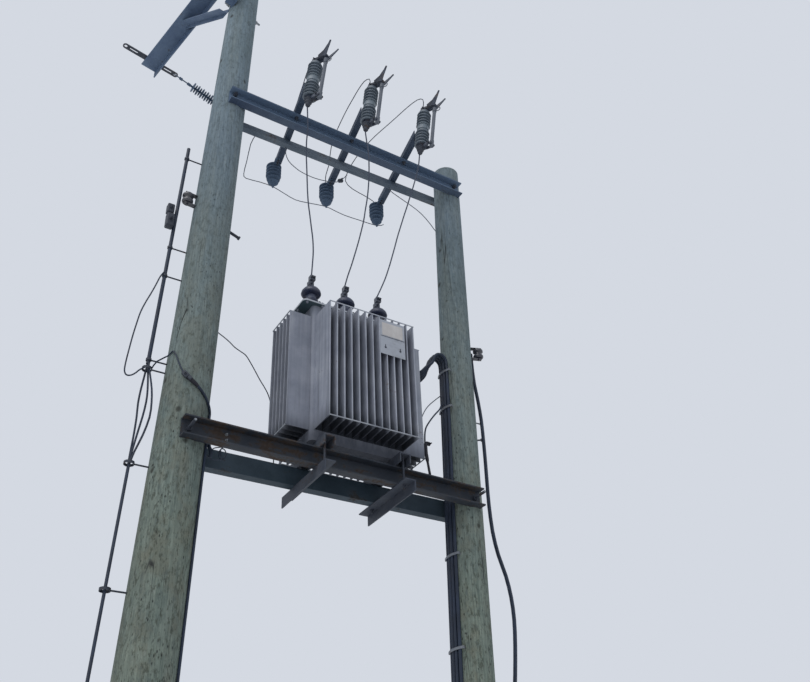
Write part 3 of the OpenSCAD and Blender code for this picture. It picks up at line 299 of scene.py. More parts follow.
class Finish:
    """A material in the making: nodes are added by kind, and a link is a socket passed as a value."""

    def __init__(self, name, roughness, metallic=0.0, specular=0.5):
        """A new material with plain values on its shader, until a pattern takes their place."""
        self.material = bpy.data.materials.new(name)
        self.material.use_nodes = True
        self.tree = self.material.node_tree
        self.shader = self.tree.nodes["Principled BSDF"]
        self.shader.inputs["Roughness"].default_value = roughness
        self.shader.inputs["Metallic"].default_value = metallic
        self.shader.inputs["Specular IOR Level"].default_value = specular
        self.place = self.tree.nodes.new("ShaderNodeTexCoord").outputs["Object"]

    def node(self, kind, settings=None, inputs=(), **named):
        """A node of a kind with its settings, its first inputs in their order and other inputs by name."""
        made = self.tree.nodes.new("ShaderNode" + kind)
        for key, value in (settings or {}).items():
            setattr(made, key, value)
        for socket, value in zip(made.inputs, inputs):
            self.put(socket, value)
        for key, value in named.items():
            self.put(made.inputs[key], value)
        return made

    def put(self, socket, value):
        """Links another socket to the input, or sets a plain value on it."""
        if isinstance(value, bpy.types.NodeSocket):
            self.tree.links.new(value, socket)
        else:
            socket.default_value = value

    def stretched(self, scale):
        """The place, each axis times its own scale."""
        return self.node("Mapping", inputs=(self.place,), Scale=scale).outputs[0]

    def noise(self, scale, detail=4.0, roughness=0.55, vector=None):
        """Cloudy noise around one half, with the scale's number of clouds to a metre."""
        settings = {"Scale": scale, "Detail": detail, "Roughness": roughness}
        return self.node("TexNoise", inputs=(vector or self.place,), **settings).outputs[0]

    def streaks(self, scale, detail=4.0, roughness=0.55):
        """Noise with a scale for each axis, so that it is drawn out along the axis of the lowest one."""
        return self.noise(1.0, detail, roughness, self.stretched(scale))

    def cells(self, scale, vector=None, feature="F1"):
        """The distance to the nearest of scattered points, or to the edge between their cells."""
        return self.node("TexVoronoi", {"feature": feature}, (vector or self.place,), Scale=scale).outputs[0]

    def between(self, value, low, high, to_low=0.0, to_high=1.0):
        """The value's share of the way from low to high, held to its ends, on the new range."""
        return self.node("MapRange", inputs=(value, low, high, to_low, to_high)).outputs[0]

    def math(self, operation, a, b=0.0):
        """One operation on two values."""
        return self.node("Math", {"operation": operation}, (a, b)).outputs[0]

    def times(self, a, b):
        """The product of two values."""
        return self.math("MULTIPLY", a, b)

    def plus(self, a, b):
        """The sum of two values."""
        return self.math("ADD", a, b)

    def ramp(self, value, stops):
        """A colour for each value, blended between the stops."""
        made = self.node("ValToRGB", inputs=(value,))
        band = made.color_ramp
        while len(band.elements) < len(stops):
            band.elements.new(0.5)
        for element, (at, shade) in zip(band.elements, stops):
            element.position = at
            element.color = shade
        return made.outputs[0]

    def mix(self, amount, a, b):
        """The first colour where the amount is 0, the second where it is 1."""
        made = self.node("Mix", {"data_type": "RGBA"}, (amount,))
        first, second = (socket for socket in made.inputs if socket.type == "RGBA")
        self.put(first, a)
        self.put(second, b)
        return made.outputs[2]

    def sides(self, position=None):
        """The X, Y and Z of a position."""
        return self.node("SeparateXYZ", inputs=(position or self.place,)).outputs

    def height(self, position=None):
        """The Z of a position."""
        return self.sides(position)[2]

    def inside(self, channel):
        """One between the flanges of a channel that opens towards -Y, in front of its web's middle."""
        low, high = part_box(channel)
        _, y, z = self.sides()
        front = self.between(y, high[1] - WALL, high[1] - WALL + FADE, 1.0, 0.0)
        above = self.between(z, low[2] + WALL, low[2] + WALL + FADE)
        below = self.between(z, high[2] - WALL - FADE, high[2] - WALL, 1.0, 0.0)
        return self.times(front, self.times(above, below))

    def bump(self, value, strength, distance):
        """A normal that follows the value as a rise of up to the distance."""
        return self.node("Bump", Strength=strength, Distance=distance, Height=value).outputs[0]

    def done(self, shade, roughness=None, normal=None):
        """Puts the patterns on the shader and gives the material."""
        self.put(self.shader.inputs["Base Color"], shade)
        if roughness is not None:
            self.put(self.shader.inputs["Roughness"], roughness)
        if normal is not None:
            self.put(self.shader.inputs["Normal"], normal)
        return self.material


# The timber's tones from the dark to the pale fibres, and where they lie in the fibres' noise
FIBRE_STOPS = (0.28, 0.5, 0.75)
GREY_WOOD = ((88, 100, 109), (108, 122, 131), (126, 138, 145))
GREEN_WOOD = ((82, 93, 86), (112, 123, 114), (140, 149, 138))
BLEACHED_WOOD = ((98, 111, 120), (120, 135, 144), (138, 151, 158))

# The right pole's large knots, each a place on its surface and the radius at which the dark wood ends
KNOTS = (((2.094, -0.014, 6.466), 0.026), ((2.081, 0.014, 6.129), 0.032), ((2.061, 0.0, 5.588), 0.021),
         ((2.088, -0.052, 5.925), 0.018), ((2.119, -0.102, 5.101), 0.014), ((2.078, -0.058, 5.55), 0.012))


def timber_pits(f, low):
    """Small dark pits in scattered patches, deeper low on the pole."""
    pits = f.cells(1.0, f.stretched((52.0, 52.0, 22.0)))
    scattered = f.between(f.streaks((9.0, 9.0, 4.0), 3.0), 0.48, 0.58)
    strength = f.times(scattered, f.between(low, 0.0, 1.0, 0.7, 1.0))
    return f.times(f.between(pits, 0.1, 0.24, 0.85, 0.0), strength)


def timber_cracks(f):
    """Thin upright cracks along the edges of tall cells, broken off in places."""
    edges = f.cells(1.0, f.stretched((16.0, 16.0, 0.35)), "DISTANCE_TO_EDGE")
    breaks = f.streaks((8.0, 8.0, 1.0), 2.0)
    return f.times(f.between(edges, 0.003, 0.012, 1.0, 0.0), f.between(breaks, 0.58, 0.64))


def timber_knots(f):
    """Small knots in a loose pattern, and the large ones at their own places."""
    knot = f.between(f.cells(1.0, f.stretched((5.5, 5.5, 4.2))), 0.05, 0.11, 0.8, 0.0)
    for centre, size in KNOTS:
        away = f.node("VectorMath", {"operation": "DISTANCE"}, (f.place, centre)).outputs["Value"]
        knot = f.math("MAXIMUM", knot, f.between(away, 0.45 * size, size, 0.85, 0.0))
    return knot


def pole_timber():
    """Weathered pine: grey fibres, bleached high up and browner low down, with pits, cracks and knots."""
    f = Finish("pole_timber", 0.92, specular=0.15)
    level = f.height()
    low = f.between(level, 3.6, 6.6, 1.0, 0.0)
    high = f.between(level, 6.6, 7.8)
    fibres = f.streaks((110.0, 110.0, 3.5), 6.0, 0.7)
    bands = f.streaks((11.0, 11.0, 0.6), 4.0, 0.6)
    mottle = f.streaks((38.0, 38.0, 17.0), 5.0, 0.68)
    grey, green, bleached = (
        f.ramp(fibres, [(at, colour(*tone)) for at, tone in zip(FIBRE_STOPS, tones)])
        for tones in (GREY_WOOD, GREEN_WOOD, BLEACHED_WOOD))
    base = f.mix(low, f.mix(high, grey, bleached), green)
    warm = f.mix(f.between(bands, 0.42, 0.7, 0.0, 0.4), base, colour(116, 120, 110))
    earthy = f.between(f.streaks((6.0, 6.0, 3.5), 6.0, 0.68), 0.48, 0.6, 0.0, 0.5)
    brown = f.mix(f.times(earthy, low), warm, colour(104, 101, 86))
    damp = f.mix(f.between(f.noise(1.1, 5.0, 0.6), 0.5, 0.72, 0.0, 0.45), brown, colour(84, 97, 98))
    mottled = f.mix(f.between(mottle, 0.5, 0.68, 0.0, 0.5), damp, colour(70, 79, 80))
    flecks = f.between(f.streaks((62.0, 62.0, 24.0), 5.0, 0.7), 0.52, 0.62, 0.0, 0.55)
    flecked = f.mix(f.times(flecks, f.between(low, 0.0, 1.0, 0.4, 1.3)), mottled, colour(64, 68, 60))
    pale = f.mix(f.between(mottle, 0.42, 0.3, 0.0, 0.35), flecked, colour(140, 146, 142))
    pits = timber_pits(f, low)
    pitted = f.mix(pits, pale, colour(38, 40, 42))
    cracks = timber_cracks(f)
    cracked = f.mix(cracks, pitted, colour(48, 50, 50))
    shade = f.mix(timber_knots(f), cracked, colour(50, 50, 46))
    grain = f.plus(f.times(fibres, 0.5), f.times(mottle, 0.4))
    rise = f.math("SUBTRACT", grain, f.math("MAXIMUM", cracks, pits))
    return f.done(shade, f.between(fibres, 0.2, 0.8, 0.97, 0.85), f.bump(rise, 0.8, 0.004))


def rusty_paint(name, paint, wear_and_highlight, rust, amount, roughness=0.62, channel=None):
    """Old dark paint: blotches of faded paint, and rust that spreads from small pits and along the length.

    With a channel beam's name, a pale painted light lies between its flanges, on the web's face, lifting the
    shade that falls there.
    """
    paint, wear_and_highlight, rust = colours(paint, wear_and_highlight, rust)
    f = Finish(name, roughness, specular=0.35)
    blotch = f.noise(5.0, 6.0, 0.65)
    fine = f.noise(45.0, 5.0, 0.6)
    runs = f.streaks((3.0, 30.0, 30.0), 4.0, 0.6)
    base = f.mix(f.between(blotch, 0.4, 0.7), paint, wear_and_highlight)
    speckled = f.mix(f.between(f.noise(120.0, 3.0), 0.58, 0.7, 0.0, 0.4), base, wear_and_highlight)
    where = f.plus(f.times(blotch, 0.5), f.times(f.plus(fine, runs), 0.25))
    rusted = f.between(where, amount, amount + 0.06, 0.0, 0.85)
    tone = f.ramp(fine, [(0.3, rust), (0.7, darker(rust, 0.55))])
    shade = f.mix(rusted, speckled, tone)
    if channel:
        # Painted light: the shaded web between the channel's flanges is lifted towards a pale blue-grey
        shade = f.mix(f.times(f.inside(channel), PAINTED_WEB_LIGHT_SHARE), shade, PAINTED_WEB_LIGHT)
    rough = f.between(rusted, 0.0, 0.85, roughness, 0.92)
    return f.done(shade, rough, f.bump(f.plus(fine, rusted), 0.25, 0.0012))


# How near to the bank's outer face a corner counts as a fin's edge, and where an end fin's own face stops
EDGE_DEPTH = 0.004
FACE, FACE_FADE = 0.0012, 0.001


def mesh_points(piece):
    """The corners of a piece's mesh as rows of X, Y and Z."""
    points = np.empty(3 * len(piece.data.vertices))
    piece.data.vertices.foreach_get("co", points)
    return points.reshape(-1, 3)


def fin_shade_and_highlight(f, shade, bank, axis, wall_side):
    """Painted highlights on the fin edges, painted shade towards the wall between the fins, and near black
    painted shade at their lower ends.

    The depth runs from 0 at the fins' outer edges to 1 at the wall, and the end fins' outer faces get none of
    this painted light and shade.
    """
    low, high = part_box(bank)
    along = 1 - axis
    outer, wall = (low[axis], high[axis]) if wall_side > 0 else (high[axis], low[axis])
    points = mesh_points(nodes[bank])
    edges = points[np.abs(points[:, axis] - outer) < EDGE_DEPTH, along]
    first, last = edges.min() + FACE, edges.max() - FACE
    place = f.sides()
    depth = f.between(place[axis], outer, wall)
    inner = f.times(f.between(place[along], first, first + FACE_FADE),
                    f.between(place[along], last - FACE_FADE, last, 1.0, 0.0))
    # Painted shade, deeper towards the wall in the recesses between the fins
    recess_shade = f.between(depth, 0.2, 0.9, 0.0, 0.62)
    recess_shaded = f.mix(f.times(inner, recess_shade), shade, colour(50, 54, 64))
    # Painted shade, near black, at the fins' lower ends deep in the recesses
    foot = f.between(place[2], low[2] + 0.01, low[2] + 0.11, 0.85, 0.0)
    foot_shade = f.times(foot, f.between(depth, 0.06, 0.3))
    black = f.mix(f.times(inner, foot_shade), recess_shaded, colour(30, 34, 42))
    # Painted highlights along the fins' outer edges, broken up by noise
    highlight_breakup = f.between(f.noise(9.0, 5.0, 0.6), 0.35, 0.6, 0.3, 1.0)
    wear_and_highlight = f.times(f.between(depth, 0.0, 0.04, 0.7, 0.0), highlight_breakup)
    return f.mix(f.times(inner, wear_and_highlight), black, colour(182, 186, 192))


def tank_coat(name, light_gain=1.0, bank=None):
    """Weathered grey paint: dust, runs down the walls, small chips, a chalky bloom, and darker towards the
    bottom.

    The gain brightens the paint's tones, as painted light, on a bank that is the same paint as the others. A
    bank of fins is its node, the axis across its wall, 0 for X and
    1 for Y, and 1 or -1 for a wall on the axis's high or low side; its fins then get painted shade and
    painted highlights.
    """
    f = Finish(name, 0.7, specular=0.22)
    cloud = f.noise(3.2, 6.0, 0.62)
    fine = f.noise(60.0, 4.0)
    runs = f.streaks((38.0, 38.0, 1.3), 5.0, 0.6)
    wide = f.streaks((13.0, 13.0, 0.7), 4.0, 0.6)
    tones = [(0.3, (112, 117, 129)), (0.55, (137, 141, 152)), (0.8, (158, 161, 169))]
    base = f.ramp(cloud, [(at, colour(*(light_gain * c for c in tone))) for at, tone in tones])
    shaded = f.mix(f.between(wide, 0.5, 0.68, 0.0, 0.5), base, colour(96, 100, 110))
    streak = f.mix(f.between(runs, 0.52, 0.72, 0.0, 0.35), shaded, colour(86, 88, 94))
    bloom = f.mix(f.between(runs, 0.3, 0.45, 0.22, 0.0), streak, colour(170, 172, 174))
    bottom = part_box("tank_body")[0][2]
    ragged = f.plus(f.height(), f.between(runs, 0.3, 0.7, -0.03, 0.05))
    # Darker towards the bottom, in a ragged band up to about 20 cm above it
    darker_low = f.mix(f.between(ragged, bottom + 0.04, bottom + 0.2, 0.78, 0.0), bloom, colour(52, 56, 66))
    chips = f.between(f.plus(f.times(fine, 0.5), f.times(cloud, 0.5)), 0.63, 0.66, 0.0, 0.8)
    shade = f.mix(chips, darker_low, colour(92, 74, 62))
    if bank:
        # Painted shade in the recesses and painted highlights on the fin edges
        shade = fin_shade_and_highlight(f, shade, *bank)
    rough = f.between(cloud, 0.3, 0.75, 0.6, 0.8)
    return f.done(shade, rough, f.bump(f.plus(fine, runs), 0.12, 0.001))


def lid_coat():
    """The tank's weathered paint on the lid, paler along the rim's edge, and painted shade on the face below.
    """
    f = Finish("lid_coat", 0.65, specular=0.25)
    level = f.height()
    cloud = f.noise(5.0, 6.0, 0.62)
    fine = f.noise(70.0, 4.0)
    base = f.mix(f.between(cloud, 0.35, 0.7), colour(128, 132, 142), colour(156, 159, 166))
    dusty = f.mix(f.between(fine, 0.55, 0.7, 0.0, 0.5), base, colour(106, 102, 98))
    rim = f.mix(f.between(level, LID_TOP - 0.003, LID_TOP - 0.001, 0.7, 0.0), dusty, colour(176, 180, 186))
    # Painted shade: the lid's downward face is a dark blue-green
    under = f.mix(f.between(cloud, 0.35, 0.7), colour(58, 76, 84), colour(82, 96, 102))
    shade = f.mix(f.between(level, LID_LOW[2] + 0.0005, LID_LOW[2] + 0.002, 1.0, 0.0), rim, under)
    return f.done(shade, f.between(cloud, 0.3, 0.75, 0.55, 0.8), f.bump(fine, 0.12, 0.001))


def zinc():
    """Dull zinc: soft spangle cells, a grey bloom and faint brown stains."""
    f = Finish("zinc", 0.5, metallic=0.55, specular=0.4)
    cells = f.cells(70.0)
    cloud = f.noise(9.0, 5.0)
    base = f.mix(cells, colour(120, 126, 132), colour(150, 154, 158))
    stained = f.mix(f.between(cloud, 0.55, 0.75, 0.0, 0.6), base, colour(104, 92, 80))
    return f.done(stained, f.between(cloud, 0.3, 0.7, 0.42, 0.62), f.bump(f.noise(90.0), 0.15, 0.0006))


def glaze(name, body, pale, dust):
    """Glazed porcelain: a deep even colour with slow shifts, crazed speckle and dust that dulls its gloss."""
    body, pale, dust = colours(body, pale, dust)
    f = Finish(name, 0.22, specular=0.6)
    slow = f.noise(14.0, 3.0)
    specks = f.noise(220.0, 2.0)
    base = f.mix(slow, body, pale)
    speckled = f.mix(f.between(specks, 0.6, 0.7, 0.0, 0.35), base, darker(body, 0.5))
    shade = f.mix(f.between(f.noise(6.0, 5.0), 0.48, 0.7, 0.0, 0.5), speckled, dust)
    return f.done(shade, f.between(slow, 0.3, 0.7, 0.2, 0.42), f.bump(f.noise(30.0), 0.08, 0.001))


def polymer(name, body, pale, roughness=0.6):
    """Moulded rubber or plastic: fine grain, dusty bloom in broad clouds and faint scuffs."""
    body, pale = colours(body, pale)
    f = Finish(name, roughness, specular=0.35)
    cloud = f.noise(8.0, 5.0)
    grain = f.noise(260.0, 3.0)
    scuffs = f.streaks((30.0, 30.0, 5.0), 3.0)
    base = f.mix(f.between(cloud, 0.4, 0.75, 0.0, 0.7), body, pale)
    shade = f.mix(f.between(scuffs, 0.6, 0.7, 0.0, 0.3), base, pale)
    rough = f.between(cloud, 0.3, 0.7, roughness - 0.1, roughness + 0.15)
    return f.done(shade, rough, f.bump(grain, 0.2, 0.0005))


def cutout_finish(number):
    """Grey glaze with a smooth pale middle, painted shade deep between the sheds, and dark castings beyond
    the porcelain's radius and ends.
    """
    f = Finish("cutout_%d_finish" % number, 0.4, specular=0.5)
    turn, origin = cutout_frame(number)
    back = turn.transposed()
    shift, angles = tuple(-(back @ origin)), tuple(back.to_euler("XYZ"))
    local = f.node("Mapping", inputs=(f.place, shift, angles)).outputs[0]
    across = f.node("VectorMath", {"operation": "MULTIPLY"}, (local, (1.0, 1.0, 0.0))).outputs[0]
    radius = f.node("VectorMath", {"operation": "LENGTH"}, (across,)).outputs[1]
    level = f.math("ABSOLUTE", f.height(local))
    wide = f.between(radius, PORCELAIN_R + 0.0005, PORCELAIN_R + 0.0015)
    metal = f.math("MAXIMUM", wide, f.between(level, PORCELAIN_HALF - 0.001, PORCELAIN_HALF))
    glazed = f.mix(f.noise(12.0, 4.0), colour(94, 105, 116), colour(114, 124, 134))
    middle = f.between(level, 0.03, 0.034, 1.0, 0.0)
    smooth = f.mix(f.times(middle, 0.8), glazed, colour(112, 123, 131))
    # Painted shade: the glaze darkens inside a radius of 54 mm, most inside 45 mm, deep between the sheds
    groove_shade = f.mix(f.between(radius, 0.045, 0.054, 0.45, 0.0), smooth, colour(66, 76, 86))
    dusty = f.mix(f.between(f.noise(7.0, 5.0), 0.5, 0.7, 0.0, 0.4), groove_shade, colour(98, 104, 110))
    casting = f.mix(f.between(f.noise(30.0, 5.0), 0.4, 0.65), colour(40, 48, 64), colour(66, 74, 88))
    stained = f.mix(f.between(f.noise(18.0, 4.0), 0.56, 0.66, 0.0, 0.6), casting, colour(88, 72, 60))
    shade = f.mix(metal, f.mix(middle, dusty, smooth), stained)
    return f.done(shade, f.between(metal, 0.0, 1.0, 0.45, 0.62), f.bump(f.noise(60.0, 4.0), 0.12, 0.0008))


def bushing_finish():
    """Near black glaze on the shed and the base, a paler dusty neck between them and dark metal on top."""
    f = Finish("bushing_finish", 0.3, specular=0.5)
    above = f.math("SUBTRACT", f.height(), LID_TOP)
    slow = f.noise(14.0, 3.0)
    glazed = f.mix(slow, colour(26, 33, 56), colour(42, 50, 74))
    neck = f.mix(f.noise(26.0, 4.0), colour(56, 62, 82), colour(92, 98, 114))
    in_neck = f.times(f.between(above, 0.0685, 0.07), f.between(above, 0.102, 0.108, 1.0, 0.0))
    body = f.mix(in_neck, glazed, neck)
    metal = f.mix(f.between(f.noise(40.0, 4.0), 0.4, 0.6), colour(50, 56, 70), colour(78, 82, 92))
    shade = f.mix(f.between(above, 0.18, 0.184), body, metal)
    dusty = f.mix(f.between(f.noise(6.0, 5.0), 0.5, 0.72, 0.0, 0.35), shade, colour(92, 88, 86))
    return f.done(dusty, f.between(slow, 0.3, 0.7, 0.26, 0.5), f.bump(f.noise(30.0), 0.08, 0.001))


def clip_finish():
    """Dark steel on the left pole's clips and pale stained zinc on the right pole's."""
    f = Finish("clip_finish", 0.6, metallic=0.3)
    cloud = f.noise(30.0, 5.0)
    dark = f.mix(cloud, colour(40, 46, 58), colour(64, 70, 80))
    pale = f.mix(cloud, colour(96, 102, 112), colour(132, 136, 142))
    shade = f.mix(f.between(f.sides()[0], 0.9, 1.0), dark, pale)
    rusted = f.mix(f.between(f.noise(55.0, 4.0), 0.58, 0.68, 0.0, 0.6), shade, colour(84, 66, 54))
    return f.done(rusted, f.between(cloud, 0.3, 0.7, 0.5, 0.75), f.bump(f.noise(90.0), 0.2, 0.0006))


def blank_plate():
    """A plain worn metal plate: brushed along its width, with dull stains."""
    f = Finish("blank_plate", 0.45, metallic=0.3)
    brushed = f.streaks((6.0, 6.0, 240.0))
    cloud = f.noise(16.0, 5.0)
    base = f.mix(brushed, colour(143, 148, 158), colour(170, 174, 181))
    shade = f.mix(f.between(cloud, 0.5, 0.7, 0.0, 0.45), base, colour(128, 130, 134))
    return f.done(shade, f.between(cloud, 0.3, 0.7, 0.4, 0.65), f.bump(brushed, 0.1, 0.0004))


TIMBER = pole_timber()
BEAM = rusty_paint("beam_paint", (36, 42, 52), (54, 58, 64), (74, 60, 50), 0.51)
FAR_BEAM = rusty_paint("far_beam_paint", (38, 53, 64), (54, 68, 80), (64, 60, 58), 0.56)
SKID = rusty_paint("skid_paint", (54, 60, 72), (74, 78, 86), (84, 66, 56), 0.55)
# The near crossarm carries painted light on the web inside its channel
NEAR_CROSSARM = rusty_paint("near_crossarm_paint", (56, 70, 92), (72, 86, 104), (68, 66, 70), 0.57,
                            channel="upper_crossarm_near")
CROSSARM = rusty_paint("crossarm_paint", (46, 59, 78), (62, 75, 92), (64, 60, 62), 0.57)
LINE_STEEL = rusty_paint("line_steel", (75, 93, 119), (97, 115, 138), (84, 82, 86), 0.57)
FAR_CROSSARM = rusty_paint("far_crossarm_paint", (72, 84, 98), (98, 107, 116), (86, 76, 72), 0.56)
TANK = tank_coat("tank_coat")
# Painted light: the near bank is the same paint with its tones raised by a tenth
NEAR_FINS = tank_coat("near_fins_coat", 1.1, ("fin_bank_near", 1, 1))
FAR_FINS = tank_coat("far_fins_coat", 1.0, ("fin_bank_far", 1, -1))
LEFT_FINS = tank_coat("left_fins_coat", 1.0, ("fin_bank_left", 0, 1))
RIGHT_FINS = tank_coat("right_fins_coat", 1.0, ("fin_bank_right", 0, -1))
ZINC = zinc()
DARK_STEEL = rusty_paint("dark_steel", (46, 51, 62), (72, 76, 84), (76, 62, 54), 0.54)
TAPE = polymer("black_tape", (24, 26, 32), (58, 56, 68), 0.7)
BROWN_GLAZE = glaze("brown_glaze", (42, 44, 54), (62, 64, 74), (84, 84, 88))
RUBBER = polymer("dark_rubber", (62, 80, 102), (86, 102, 122), 0.75)
FUSE_TUBE = polymer("fuse_tube", (86, 92, 102), (112, 116, 124), 0.55)
SHEATH = polymer("cable_sheath", (26, 36, 52), (48, 60, 80), 0.5)
LEAD_SHEATH = polymer("lead_sheath", (58, 65, 80), (82, 88, 102), 0.5)
BARE_WIRE = rusty_paint("bare_wire", (70, 78, 90), (96, 102, 112), (80, 70, 64), 0.56)
PLATE = blank_plate()
BUSHING = bushing_finish()
PANEL = polymer("plate_panel", (176, 172, 170), (198, 196, 194), 0.5)

FINISHES = {
    "left_pole": TIMBER, "right_pole": TIMBER,
    "platform_beam_near": BEAM, "platform_beam_far": FAR_BEAM, "skids": SKID, "clamp_angles": SKID,
    "upper_crossarm_near": NEAR_CROSSARM, "upper_crossarm_far": FAR_CROSSARM, "fuse_arms": CROSSARM,
    "line_crossarm": LINE_STEEL, "line_braces": LINE_STEEL, "cable_clips": clip_finish(),
    "pole_bolts": DARK_STEEL, "clamp_rods": DARK_STEEL, "line_straps": DARK_STEEL,
    "tank_body": TANK, "tank_lid": lid_coat(), "fin_bank_near": NEAR_FINS, "fin_bank_far": FAR_FINS,
    "fin_bank_left": LEFT_FINS, "fin_bank_right": RIGHT_FINS, "rating_plate": PLATE,
    "hv_bushings": BUSHING, "lv_bushings": BROWN_GLAZE, "service_insulators": BROWN_GLAZE,
    "arrester_jumpers": SHEATH, "earth_wires": BARE_WIRE, "right_risers": SHEATH, "left_riser": SHEATH,
    "front_cable": SHEATH, "line_insulators": RUBBER,
}
for number in ARMS:
    FINISHES["cutout_%d" % number] = cutout_finish(number)
    FINISHES["fuse_carrier_%d" % number] = FUSE_TUBE
    FINISHES["arrester_%d" % number] = RUBBER


def dress_nodes():
    """Puts each node's finish on its mesh, in place of its plain colour."""
    for name, material in FINISHES.items():
        mesh = nodes[name].data
        mesh.materials.clear()
        mesh.materials.append(material)


dress_nodes()

# Free cables, along the routes of the CAD source, in millimetres

ROUTES = {
    "hv_lead_1": [(655, -466, 6948), (670, -445, 6860), (690, -410, 6775), (705, -365, 6685),
        (725, -325, 6595), (745, -295, 6510), (765, -265, 6420), (785, -235, 6335), (805, -212, 6245),
        (830, -190, 6155), (855, -168, 6065), (880, -145, 5975), (897, -120, 5885), (905, -95, 5800),
        (907, -80, 5711)],
    "hv_lead_2": [(1145, -466, 6948), (1165, -450, 6855), (1190, -430, 6770), (1210, -400, 6680),
        (1225, -370, 6590), (1235, -340, 6500), (1240, -310, 6410), (1240, -280, 6325),
        (1240, -250, 6235), (1233, -220, 6145), (1225, -190, 6060), (1213, -160, 5970),
        (1200, -130, 5880), (1185, -100, 5795), (1172, -80, 5711)],
    "hv_lead_3": [(1635, -466, 6948), (1637, -440, 6850), (1632, -405, 6760), (1622, -370, 6670),
        (1610, -335, 6585), (1595, -305, 6495), (1580, -275, 6410), (1565, -245, 6320),
        (1550, -220, 6235), (1537, -195, 6145), (1523, -170, 6055), (1507, -147, 5965),
        (1488, -122, 5875), (1463, -100, 5790), (1437, -80, 5711)],
    "lv_tail_1": [(1047, 116, 5524), (1049, 210, 5526), (1065, 267, 5528), (1104, 301, 5528),
        (1157, 310, 5530), (1261, 310, 5529), (1366, 310, 5527), (1496, 310, 5526), (1572, 308, 5500),
        (1612, 304, 5448), (1676, 300, 5378), (1731, 296, 5308), (1783, 280, 5250), (1823, 238, 5219),
        (1863, 178, 5211), (1899, 120, 5232), (1926, 82, 5273), (1930, 58, 5324), (1939, 44, 5370),
        (1959, 39, 5395), (1983, 37, 5402), (2008, 36, 5395), (2028, 36, 5370), (2033, 36, 5335),
        (2033, 36, 5300)],
    "lv_tail_2": [(1177, 116, 5524), (1179, 183, 5526), (1195, 240, 5528), (1234, 274, 5528),
        (1287, 283, 5530), (1378, 283, 5529), (1488, 283, 5526), (1566, 281, 5500), (1606, 277, 5448),
        (1662, 273, 5386), (1717, 269, 5316), (1769, 253, 5258), (1809, 211, 5227), (1849, 151, 5219),
        (1886, 93, 5240), (1915, 55, 5279), (1926, 31, 5324), (1935, 17, 5370), (1955, 12, 5395),
        (1979, 10, 5402), (2004, 9, 5395), (2024, 9, 5370), (2029, 9, 5335), (2029, 9, 5300)],
    "lv_tail_3": [(1307, 116, 5524), (1309, 156, 5526), (1325, 213, 5528), (1364, 247, 5528),
        (1417, 256, 5530), (1482, 256, 5526), (1558, 254, 5500), (1598, 250, 5448), (1648, 246, 5394),
        (1703, 242, 5324), (1755, 226, 5266), (1795, 184, 5235), (1835, 124, 5227), (1874, 66, 5248),
        (1903, 28, 5286), (1926, 4, 5324), (1935, -10, 5370), (1955, -15, 5395), (1979, -17, 5402),
        (2004, -18, 5395), (2024, -18, 5370), (2029, -18, 5335), (2029, -18, 5300)],
    "lv_tail_4": [(1437, 116, 5524), (1439, 136, 5526), (1455, 186, 5528), (1494, 220, 5528),
        (1536, 228, 5518), (1574, 228, 5480), (1634, 219, 5402), (1689, 215, 5332), (1741, 199, 5274),
        (1781, 157, 5243), (1821, 97, 5235), (1861, 39, 5256), (1892, 1, 5292), (1927, -22, 5324),
        (1941, -36, 5370), (1961, -41, 5395), (1985, -43, 5402), (2010, -44, 5395), (2030, -44, 5370),
        (2035, -44, 5335), (2035, -44, 5300)],
    "tap_loop": [(-100, -8, 5398), (-122, -16, 5345), (-142, -21, 5270), (-165, -25, 5190),
        (-190, -28, 5110), (-212, -30, 5025), (-226, -33, 4930), (-238, -35, 4830), (-247, -38, 4730),
        (-254, -40, 4640), (-254, -40, 4580), (-240, -38, 4555), (-214, -36, 4560), (-188, -33, 4585),
        (-166, -26, 4618), (-136, -14, 4652)],
    "tank_lead": [(285, 50, 5120), (330, 85, 5120), (375, 100, 5110), (415, 105, 5090), (455, 108, 5062),
        (495, 110, 5045), (540, 118, 5030), (580, 128, 4990), (620, 140, 4945), (660, 150, 4895),
        (700, 158, 4850), (735, 166, 4800), (762, 172, 4720), (780, 174, 4620), (790, 174, 4500),
        (794, 174, 4400), (795, 174, 4300)],
}
LEAD_D, TAIL_D, TAP_D, WIRE_D = 0.010, 0.022, 0.009, 0.007
TAILS = (1, 2, 3, 4)


def make_cord(name, diameter, sheath=SHEATH):
    """The cable's own tube, its length the sum of its steps along the smooth route."""
    route = np.array(ROUTES[name], float) / 1000.0
    piece = make_piece(name + "_cable", [tube(route, diameter / 2)], sheath)
    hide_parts(name)


for number in ARMS:
    make_cord("hv_lead_%d" % number, LEAD_D, LEAD_SHEATH)
for number in TAILS:
    make_cord("lv_tail_%d" % number, TAIL_D)
make_cord("tap_loop", TAP_D)
make_cord("tank_lead", WIRE_D)

# Small fittings, in metres: a bolt's last two sizes are its width across flats and its thread's length


def hex_bolt(at, axis, across, length):
    """A washer, a six-sided nut with a bevelled rim and a round thread end, in shares of the width."""
    washer = [(across * r, across * h) for r, h in ((0.62, 0.0), (0.68, 0.03), (0.68, 0.1), (0.64, 0.13))]
    reach = across / 2 / math.cos(math.pi / 6)
    top = across * 0.74
    nut = [(reach * 0.94, across * 0.13), (reach, across * 0.18), (reach, across * 0.66), (reach * 0.9, top)]
    thread = [(across * 0.3, top), (across * 0.3, top + length * 0.85), (across * 0.24, top + length)]
    return [lathe(washer, at, axis, 24), lathe(nut, at, axis, 6), lathe(thread, at, axis, 16)]


